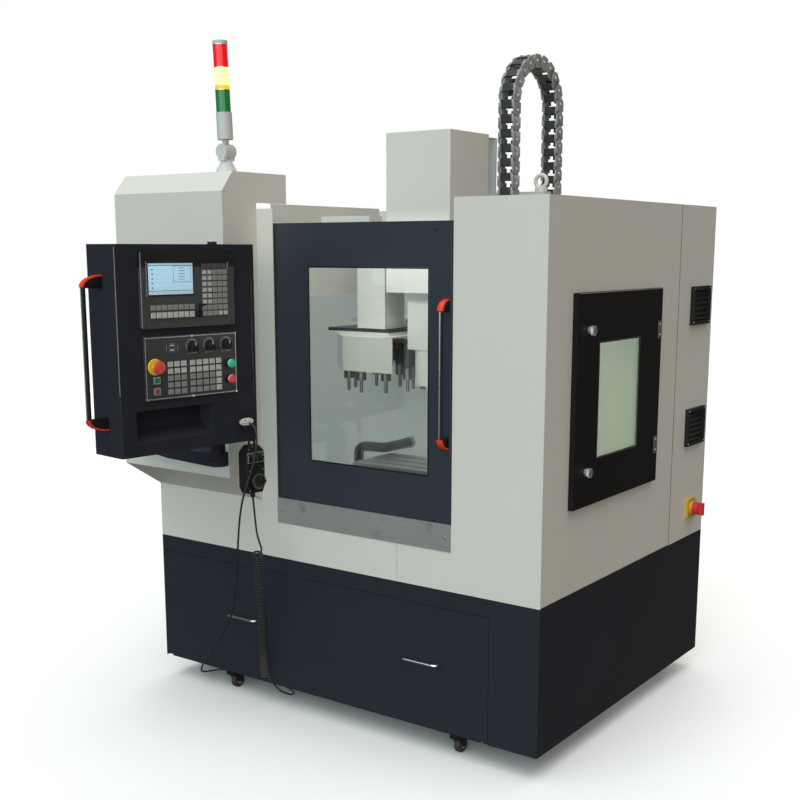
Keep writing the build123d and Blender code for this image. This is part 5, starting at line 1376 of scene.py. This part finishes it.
    def buttons(self) -> None:
        """Adds the emergency stop and the two round buttons."""
        stop = Solid(CONSOLE)
        place = front(self.stop[0], self.panel_face - 4.0, self.stop[1])
        stop.lathe([(0, 2.4), (7, 2.4), (7, 12), (18.5, 16), (21, 18.5), (21, 22), (19.5, 25), (14, 27.2),
                    (0, 27.5)], RED_BRIGHT, place, 40)
        stop.ring(3, 12.5, (20, 260), (6.0, 2.2, 0.6), RED_PALE, place @ at(0, 0, 27.3))
        stop.piece("estop_mushroom", Body.ESTOP, Slot.RED, "estop_button")
        for name, body, slot, finish, z in (
                ("start_button_cap", Body.START, Slot.GREEN, GREEN_BRIGHT, self.button_z[0]),
                ("stop_button_cap", Body.STOP, Slot.RED, RED_BRIGHT, self.button_z[1])):
            made = Solid(CONSOLE)
            place = front(self.button_x, self.panel_face - 5.0, z)
            made.lathe([(0, -8), (7, -8), (7, 5), (12.6, 6), (14, 8.5), (14, 13.5), (12.5, 16.8), (8, 18.2),
                        (0, 18.5)], finish, place, 32)
            made.lathe([(13.9, 8.5), (14.5, 9.0), (14.5, 10.6), (13.9, 11.2)], SILVER, place, 32)
            made.piece(name, body, slot, body.value)

    def trim(self) -> None:
        """Adds the housing's black right edge strip, a painted highlight along its front left edge, socket
        face, hook, pivot bolt and rear cover.
        """
        made = Solid(CONSOLE)
        made.box((88, self.face - 1.5, self.low + 150), (96, self.face + 2, self.high - 14), GLOSS, 0.8)
        # Painted highlight: a thin silver strip on the charcoal front left edge stands in for the light that
        # this edge catches.
        made.box((self.left - 0.2, self.face - 0.2, self.low + 190),
                 (self.left + 1.8, self.face + 1.8, self.high - 8), SILVER, 0.4)
        oval = [(45 + 29 * x, 1097 + 12 * z) for x, z in circle(32)]
        made.prism(oval, Axis.Y, self.face - 22.8, self.face - 21.0, PALE, 0.6)
        made.ring(3, 7.0, (90, 330), (3.6, 3.6, 1.0), PIT, front(38, self.face - 22.9, 1095))
        made.lathe([(0, 8), (9, 8), (9, 12), (7.4, 13.5), (4, 13.5), (3.6, 10.5), (0, 10.5)], PALE,
                   at(0, 0, self.high), 6)
        hook = [(-76, self.low + 4), (-46, self.low + 4), (-50, self.low - 54), (-90, self.low - 52),
                (-92, self.low - 42), (-72, self.low - 42)]
        made.prism(hook, Axis.Y, self.face + 4, self.face + 10, BLACK, 1.0)
        spots = [(x, z, 0.5) for x in (-60.0, 380.0) for z in (self.low + 40, 1340.0, self.high - 40)]
        made.heads(spots, 5.0, 2.4, STEEL, at(0, -self.face, 0, FACE_BACK))
        made.border((-396, self.low + 60), (76, self.high - 60), 2.0, Axis.Y, -self.face - 0.5,
                    -self.face + 0.4, PIT, 0.0)
        made.keys(12, 1, (18.0, 10), (7.0, 60.0, 1.0), PIT, at(40, -self.face - 0.3, 1500, FACE_BACK), 0.95)
        made.piece("console_trim", Body.CONSOLE, Slot.BLACK)
        self.pendant()

    def pendant(self) -> None:
        """Adds the handwheel pendant's plate, selectors, grip ribs, screws and dial scale."""
        box = Solid(CONSOLE)
        x, y = self.pendant_x, self.pendant_face
        box.border((x - 34, 954), (x + 34, 988), 1.0, Axis.Y, y - 0.6, y + 0.5, GREY, 0.1)
        for side in (-18, 18):
            box.ring(9, 13.0, (-30, 210), (2.4, 0.9, 0.5), WHITE, front(x + side, y, 970))
            box.box((side + x - 1.2, y - 11.0, 968), (side + x + 1.2, y - 9.5, 979), CHROME, 0.3)
        for z in (860.0, 928.0, 1000.0):
            box.heads([(x - 29, z, 0.4), (x + 29, z, 0.4)], 2.6, 1.6, STEEL, front(0, y, 0))
        for side in (-1, 1):
            edge = sorted((x + side * 38.6, x + side * 39.6))
            for step in range(6):
                box.box((edge[0], y + 10, 888 + step * 8), (edge[1], y + 32, 891 + step * 8), BLACK, 0.4)
        box.piece("pendant_details", Body.CONSOLE, Slot.BLACK)
        dial = Solid(CONSOLE)
        place = front(x, y - 15.5, 892)
        dial.lathe([(25.6, -0.4), (27.8, 0.2), (27.8, 0.8), (25.6, 1.0), (24.4, 0.3), (25.6, -0.4)], KEY_DARK,
                   place, 48)
        dial.ring(50, 22.5, (0, 352.8), (2.6, 0.5, 0.5), KEY_PALE, place)
        dial.lathe([(9, 0), (9, 0.9), (7.6, 1.4), (0, 1.4)], GLOSS, place @ at(10, 9, 0), 28)
        dial.piece("pendant_dial_scale", Body.PENDANT_DIAL, Slot.BLACK)


@dataclass
class FrontDoor:
    """Sliding door: handle, window seal and screws."""

    x: Pair = (-270.5, 491.5)
    z: Pair = (765.0, 1736.0)
    face: float = 10.0
    window_x: Pair = (-84.5, 407.5)
    window_z: Pair = (933.0, 1593.0)
    handle_x: float = 476.5

    def build(self) -> None:
        """Adds the door's pieces."""
        grip = MACHINE @ at(self.handle_x, self.face, 0)
        BowHandle(1037.0, 1489.0, 36.0).build("front_door_handle", grip, Body.FRONT_DOOR, "door_handle")
        made = Solid(MACHINE)
        (x0, x1), (z0, z1) = self.window_x, self.window_z
        made.border((x0 - 1, z0 - 1), (x1 + 1, z1 + 1), 5.0, Axis.Y, self.face - 0.8, self.face + 2.4, GLOSS,
                    0.6)
        spots = [(x, z, 0.4) for x in (self.x[0] + 30, self.x[1] - 60)
                 for z in (self.z[0] + 26, self.z[1] - 26)]
        made.heads(spots, 5.0, 2.2, PIT, front(0, self.face, 0))
        made.piece("front_window_seal", Body.FRONT_DOOR, Slot.BLACK)


@dataclass
class SideDoor:
    """Hinged side door: window seal, a painted highlight along the top edge, hinge leaves and lock faces."""

    y: Pair = (163.0, 790.0)
    z: Pair = (848.0, 1520.0)
    window_y: Pair = (314.0, 616.0)
    window_z: Pair = (993.0, 1364.0)
    lock_y: float = 242.0
    lock_z: Pair = (1404.0, 959.0)
    hinge_z: Pair = (1378.0, 977.0)

    def build(self) -> None:
        """Adds the door's pieces on the outside of the side wall."""
        face = extent("side_door")[1].x
        made = Solid(MACHINE)
        made.border((self.window_y[0] - 2, self.window_z[0] - 2),
                    (self.window_y[1] + 2, self.window_z[1] + 2), 6.0, Axis.X, face - 3.0, face + 0.6, GLOSS,
                    0.8)
        # Painted highlight: a pale strip on the black door's top edge stands in for the light that this edge
        # catches.
        made.box((face - 1.0, self.y[0] + 6, self.z[1] - 3.2), (face + 0.5, self.y[1] - 6, self.z[1] - 0.6),
                 KEY_PALE, 0.4)
        spots = [(self.y[1] - 16.0, z + up, 0.6) for z in self.hinge_z for up in (-18.0, 18.0)]
        for z in self.hinge_z:
            made.box((face - 1.0, self.y[1] - 30, z - 30), (face + 1.8, self.y[1] - 1, z + 30), HINGE, 1.0)
        made.heads(spots, 4.4, 2.4, STEEL, at(face + 1.6, 0, 0, FACE_RIGHT))
        made.piece("side_window_seal", Body.SIDE_DOOR, Slot.BLACK)
        for body, z in zip((Body.LOCK_UPPER, Body.LOCK_LOWER), self.lock_z):
            lock = Solid(MACHINE)
            place = at(extent(body.value)[1].x - 8.0, self.lock_y, z, FACE_RIGHT)
            lock.lathe([(9.5, 7.9), (10.5, 8.6), (11.5, 8.6), (12.4, 7.9)], STEEL, place, 32)
            lock.piece(body.value + "_face", body, Slot.CHROME)


@dataclass
class Shell:
    """Screws, seams and edge lines of the fixed panels."""

    band: tuple[float, ...] = (-650.5, -224.5, 206.5, 638.5)
    right: tuple[float, ...] = (137.0, 323.0, 758.0)
    left: tuple[float, ...] = (137.0, 460.0, 758.0, 1140.0)
    half: float = 829.5
    head: Pair = (5.6, 3.0)

    def build(self) -> None:
        """Adds the small parts of the front and the sides."""
        made = Solid(MACHINE)
        rows = (([(x, 555.0, 0.5) for x in self.band], front(0, 0, 0)),
                ([(y, 556.0, 0.5) for y in self.right], at(self.half, 0, 0, FACE_RIGHT)),
                ([(-y, 556.0, 0.5) for y in self.left], at(-self.half, 0, 0, FACE_LEFT)))
        for spots, where in rows:
            made.heads(spots, *self.head, PIT, where)
        low, high = extent("sill_plate")
        made.heads([(x, 742.0, 1.0) for x in (low.x + 24.0, high.x - 24.0)], 5.2, 2.6, STEEL,
                   front(0, low.y, 0))
        made.box((289.5, -0.3, 572), (290.5, 0.4, low.z - 1), HINGE, 0.0)
        bead = [(826.7, 0.3), (826.9, -0.2), (829.2, -0.2), (829.8, 0.4), (829.8, 2.4), (829.3, 2.8)]
        made.prism(bead, Axis.Z, 572.0, 1802.0, PALE, 0.0)
        for x in (-self.half, self.half):
            made.box((x - 0.4, 973.6, 570), (x + 0.4, 976.4, 1803), PIT, 0.0)
        made.box((829.2, 4, 567), (829.9, 970, 569.5), PIT, 0.0)
        made.box((829.2, 30, 572), (829.8, 960, 573.6), KEY_WHITE, 0.0)
        made.piece("panel_screws", Body.FRAME, Slot.STEEL)


@dataclass
class Cabinet:
    """Electrical cabinet: vent screws, switch face and the rear door's locks."""

    vent_y: float = 1167.0
    vent_z: tuple[float, ...] = (1446.0, 994.0)
    switch_y: float = 1163.0
    switch_z: float = 678.0
    vent_half: Pair = (75.0, 62.0)
    switch_half: float = 31.0

    def build(self) -> None:
        """Adds the cabinet's pieces."""
        face = extent("cabinet_vents")[1].x
        made = Solid(MACHINE)
        for z in self.vent_z:
            wide, tall = self.vent_half
            spots = [(self.vent_y + side, z + up, 0.6) for side in (-wide, wide) for up in (-tall, tall)]
            made.heads(spots, 3.6, 2.0, STEEL, at(face - 0.6, 0, 0, FACE_RIGHT))
        made.piece("vent_screws", Body.FRAME, Slot.STEEL)
        plate = extent("main_switch_base")[1].x
        switch = Solid(MACHINE)
        place = at(plate - 9.6, self.switch_y, self.switch_z, FACE_RIGHT)
        half = self.switch_half
        switch.ring(2, half, (90, 180), (5.0, 2.4, 0.8), BLACK, place)
        spots = [(self.switch_y + side, self.switch_z + up, 0.4)
                 for side in (-half, half) for up in (-half, half)]
        switch.heads(spots, 2.6, 1.4, STEEL, at(plate - 9.9, 0, 0, FACE_RIGHT))
        switch.piece("main_switch_face", Body.FRAME, Slot.BLACK)
        self.rear()

    def rear(self) -> None:
        """Adds the rear door's cam locks and its plain plate with screws."""
        low, high = extent("cabinet_door")
        door = Solid(MACHINE)
        back, free = high.y, high.x
        for z in (low.z + 160, (low.z + high.z) / 2, high.z - 160):
            place = at(free - 46, back - 4.58, z, FACE_BACK)
            door.lathe([(0, 0), (15, 0), (15, 3.2), (13.5, 4.6), (8.5, 4.6), (8.5, 3.0), (0, 3.0)], STEEL,
                       place, 32)
            door.box((-1.6, -7.5, 2.6), (1.6, 7.5, 4.62), BLACK, 0.0, place)
        door.box((free - 300, back - 0.6, high.z - 330), (free - 180, back + 0.03, high.z - 250), PALE, 0.0)
        spots = [(x - free, high.z - z, -0.67) for x in (294.0, 186.0) for z in (324.0, 256.0)]
        door.heads(spots, 2.4, 1.4, STEEL, at(0, back, 0, FACE_BACK))
        door.piece("rear_door_locks", Body.CABINET_DOOR, Slot.STEEL)


@dataclass
class StackLight:
    """Signal light: three ribbed lenses on the grey body."""

    foot: Point = (-417.5, -20.0, 1978.0)
    lean: float = -2.5
    first: float = 129.0
    height: float = 72.0
    gap: float = 2.0
    radius: float = 25.5
    wall: float = 8.0
    ribs: int = 8
    rib: float = 0.9

    def build(self) -> None:
        """Adds the lenses and the bright rings."""
        place = MACHINE @ at(*self.foot, Matrix.Rotation(math.radians(self.lean), 4, "Y"))
        lenses = (("lens_ring_green", LENS_GREEN), ("lens_ring_amber", LENS_AMBER),
                  ("lens_ring_red", LENS_RED))
        for index, (name, finish) in enumerate(lenses):
            made = Solid(place)
            z = self.first + index * (self.height + self.gap)
            inner, top = self.radius - self.wall, z + self.height - 0.5
            profile = [(inner, z + 0.5), (inner, top)]
            for step in range(2 * self.ribs + 1):
                fall = (self.height - 1) * step / (2 * self.ribs)
                profile.append((self.radius - self.rib * (step % 2), top - fall))
            profile.append((inner, z + 0.5))
            made.lathe(profile, finish, HERE, 48)
            made.piece(name, Body.STACK_LIGHT, Slot.LENS, "stack_lenses")
        rings = Solid(place)
        for index in range(4):
            z = self.first - 2.5 + index * (self.height + self.gap)
            near, far = self.radius - 4, self.radius + 0.4
            rings.lathe([(near, z), (far, z), (far, z + 2.6), (near, z + 2.6)], SILVER, HERE, 48)
        rings.piece("lens_joint_rings", Body.STACK_LIGHT, Slot.GREY)


@dataclass
class Casters:
    """Front casters: bright hubs with their axle nuts."""

    hub: float = 13.0
    nut: float = 6.5
    proud: float = 0.8

    def build(self) -> None:
        """Adds a hub on both sides of each front wheel."""
        for body in (Body.WHEEL_LEFT, Body.WHEEL_RIGHT):
            low, high = extent(body.value)
            middle = (low + high) / 2
            made = Solid(MACHINE)
            for x, facing in ((low.x, FACE_LEFT), (high.x, FACE_RIGHT)):
                place = at(x, middle.y, middle.z, facing)
                made.lathe([(0, -2), (self.hub, -2), (self.hub, self.proud * 0.4), (self.hub - 2, self.proud),
                            (self.nut, self.proud), (0, self.proud)], CHROME, place, 32)
                made.ring(6, self.hub - 4, (0, 300), (3.0, 3.0, 0.5), PIT, place @ at(0, 0, self.proud))
            made.piece(body.value + "_hub", body, Slot.CHROME)


@dataclass
class Inside:
    """Drag chain with its pins, and the ribbed drain hose."""

    chain_x: Pair = (327.5, 391.5)
    chain_y: float = 716.0
    chain_z: float = 2140.0
    bend: float = 153.0
    depth: float = 44.0
    merge: float = 1e-6
    straight: int = 9
    turns: int = 10
    pin: Pair = (5.2, 2.2)
    hose_foot: Point = (-267.5, 520.0, 670.5)
    hose_high: float = 900.5
    hose_end: Pair = (-147.5, 700.5)
    hose_radius: float = 19.0

    def build(self) -> None:
        """Adds the inner pieces."""
        self.links()
        self.pins()
        self.hose()

    def hold(self, made: bpy.types.Object) -> None:
        """Bakes a chain piece's place into its mesh; the points of its rear and front leg are worked out but
        not used.

        Args:
            made: piece of the chain.
        """
        inner = self.bend - self.depth / 2
        rear, ahead = (MACHINE @ Vector((self.chain_x[0], self.chain_y + way * inner, self.chain_z))
                       for way in (1, -1))
        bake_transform(made)
        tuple(rear)
        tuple(ahead)

    def links(self) -> None:
        """Adds the chain's links as one mesh, with no body to move with."""
        made = Solid(HERE)
        made.mesh.from_mesh(frame["nodes"]["z_drag_chain"].data)
        bmesh.ops.remove_doubles(made.mesh, verts=made.mesh.verts, dist=self.merge)
        made.paints.append(CHAIN)
        self.hold(made.piece("drag_chain_links", None, Slot.BLACK, "z_drag_chain"))

    def hose(self) -> None:
        """Adds the ribbed drain hose with its collars."""
        made = Solid(MACHINE)
        (x, y, low), (end_x, end_y) = self.hose_foot, self.hose_end
        high, bore = self.hose_high, self.hose_radius
        route = [(x, y, low), (x, y, high - 60), (x, y, high), (end_x, y, high), (end_x, y + 60, high),
                 (end_x, end_y, high)]
        made.hose(route, bore, HOSE, 0.12, 13.0)
        collar = [(bore, 0), (bore + 4, 0), (bore + 4, 14), (bore + 2, 16), (bore, 16)]
        for place in (at(x, y, low), front(end_x, end_y, high)):
            made.lathe(collar, STEEL, place, 28)
        made.piece("drain_hose_ribs", Body.FRAME, Slot.RUBBER, "drain_hose")

    def pins(self) -> None:
        """Adds the light pins at the chain's joints."""
        spots: list[Point] = []
        half = math.pi / self.turns / 2
        pitch = 2 * self.bend * math.tan(half)
        reach = self.bend / math.cos(half)
        for step in range(1, self.straight + 1):
            z = self.chain_z + pitch / 2 - step * pitch
            spots += [(self.chain_y - self.bend, z, 0.6), (self.chain_y + self.bend, z, 0.6)]
        for step in range(self.turns):
            turn = half + math.pi * step / self.turns
            spots.append((self.chain_y + reach * math.cos(turn), self.chain_z + reach * math.sin(turn), 0.6))
        made = Solid(MACHINE)
        made.heads(spots, *self.pin, PALE, at(self.chain_x[1], 0, 0, FACE_RIGHT))
        made.heads([(-y, z, d) for y, z, d in spots], *self.pin, PALE, at(self.chain_x[0], 0, 0, FACE_LEFT))
        self.hold(made.piece("chain_pins", None, Slot.GREY))


def paint() -> None:
    """Gives every CAD node its finish."""
    for finish, names in NODES.items():
        for name in names.split():
            data = frame["nodes"][name].data
            data.materials.clear()
            data.materials.append(finish.build())
            LOG.info("node %s: %s", name, finish.name)


def main() -> None:
    """Builds the dressed machine."""
    logging.basicConfig(level=logging.INFO, format="%(message)s")
    Studio().build()
    PendantCord().build()
    paint()
    for assembly in (Console, FrontDoor, SideDoor, Shell, Cabinet, StackLight, Casters, Inside):
        assembly().build()
        LOG.info("done: %s", assembly.__name__)


if __name__ == "__main__":
    main()
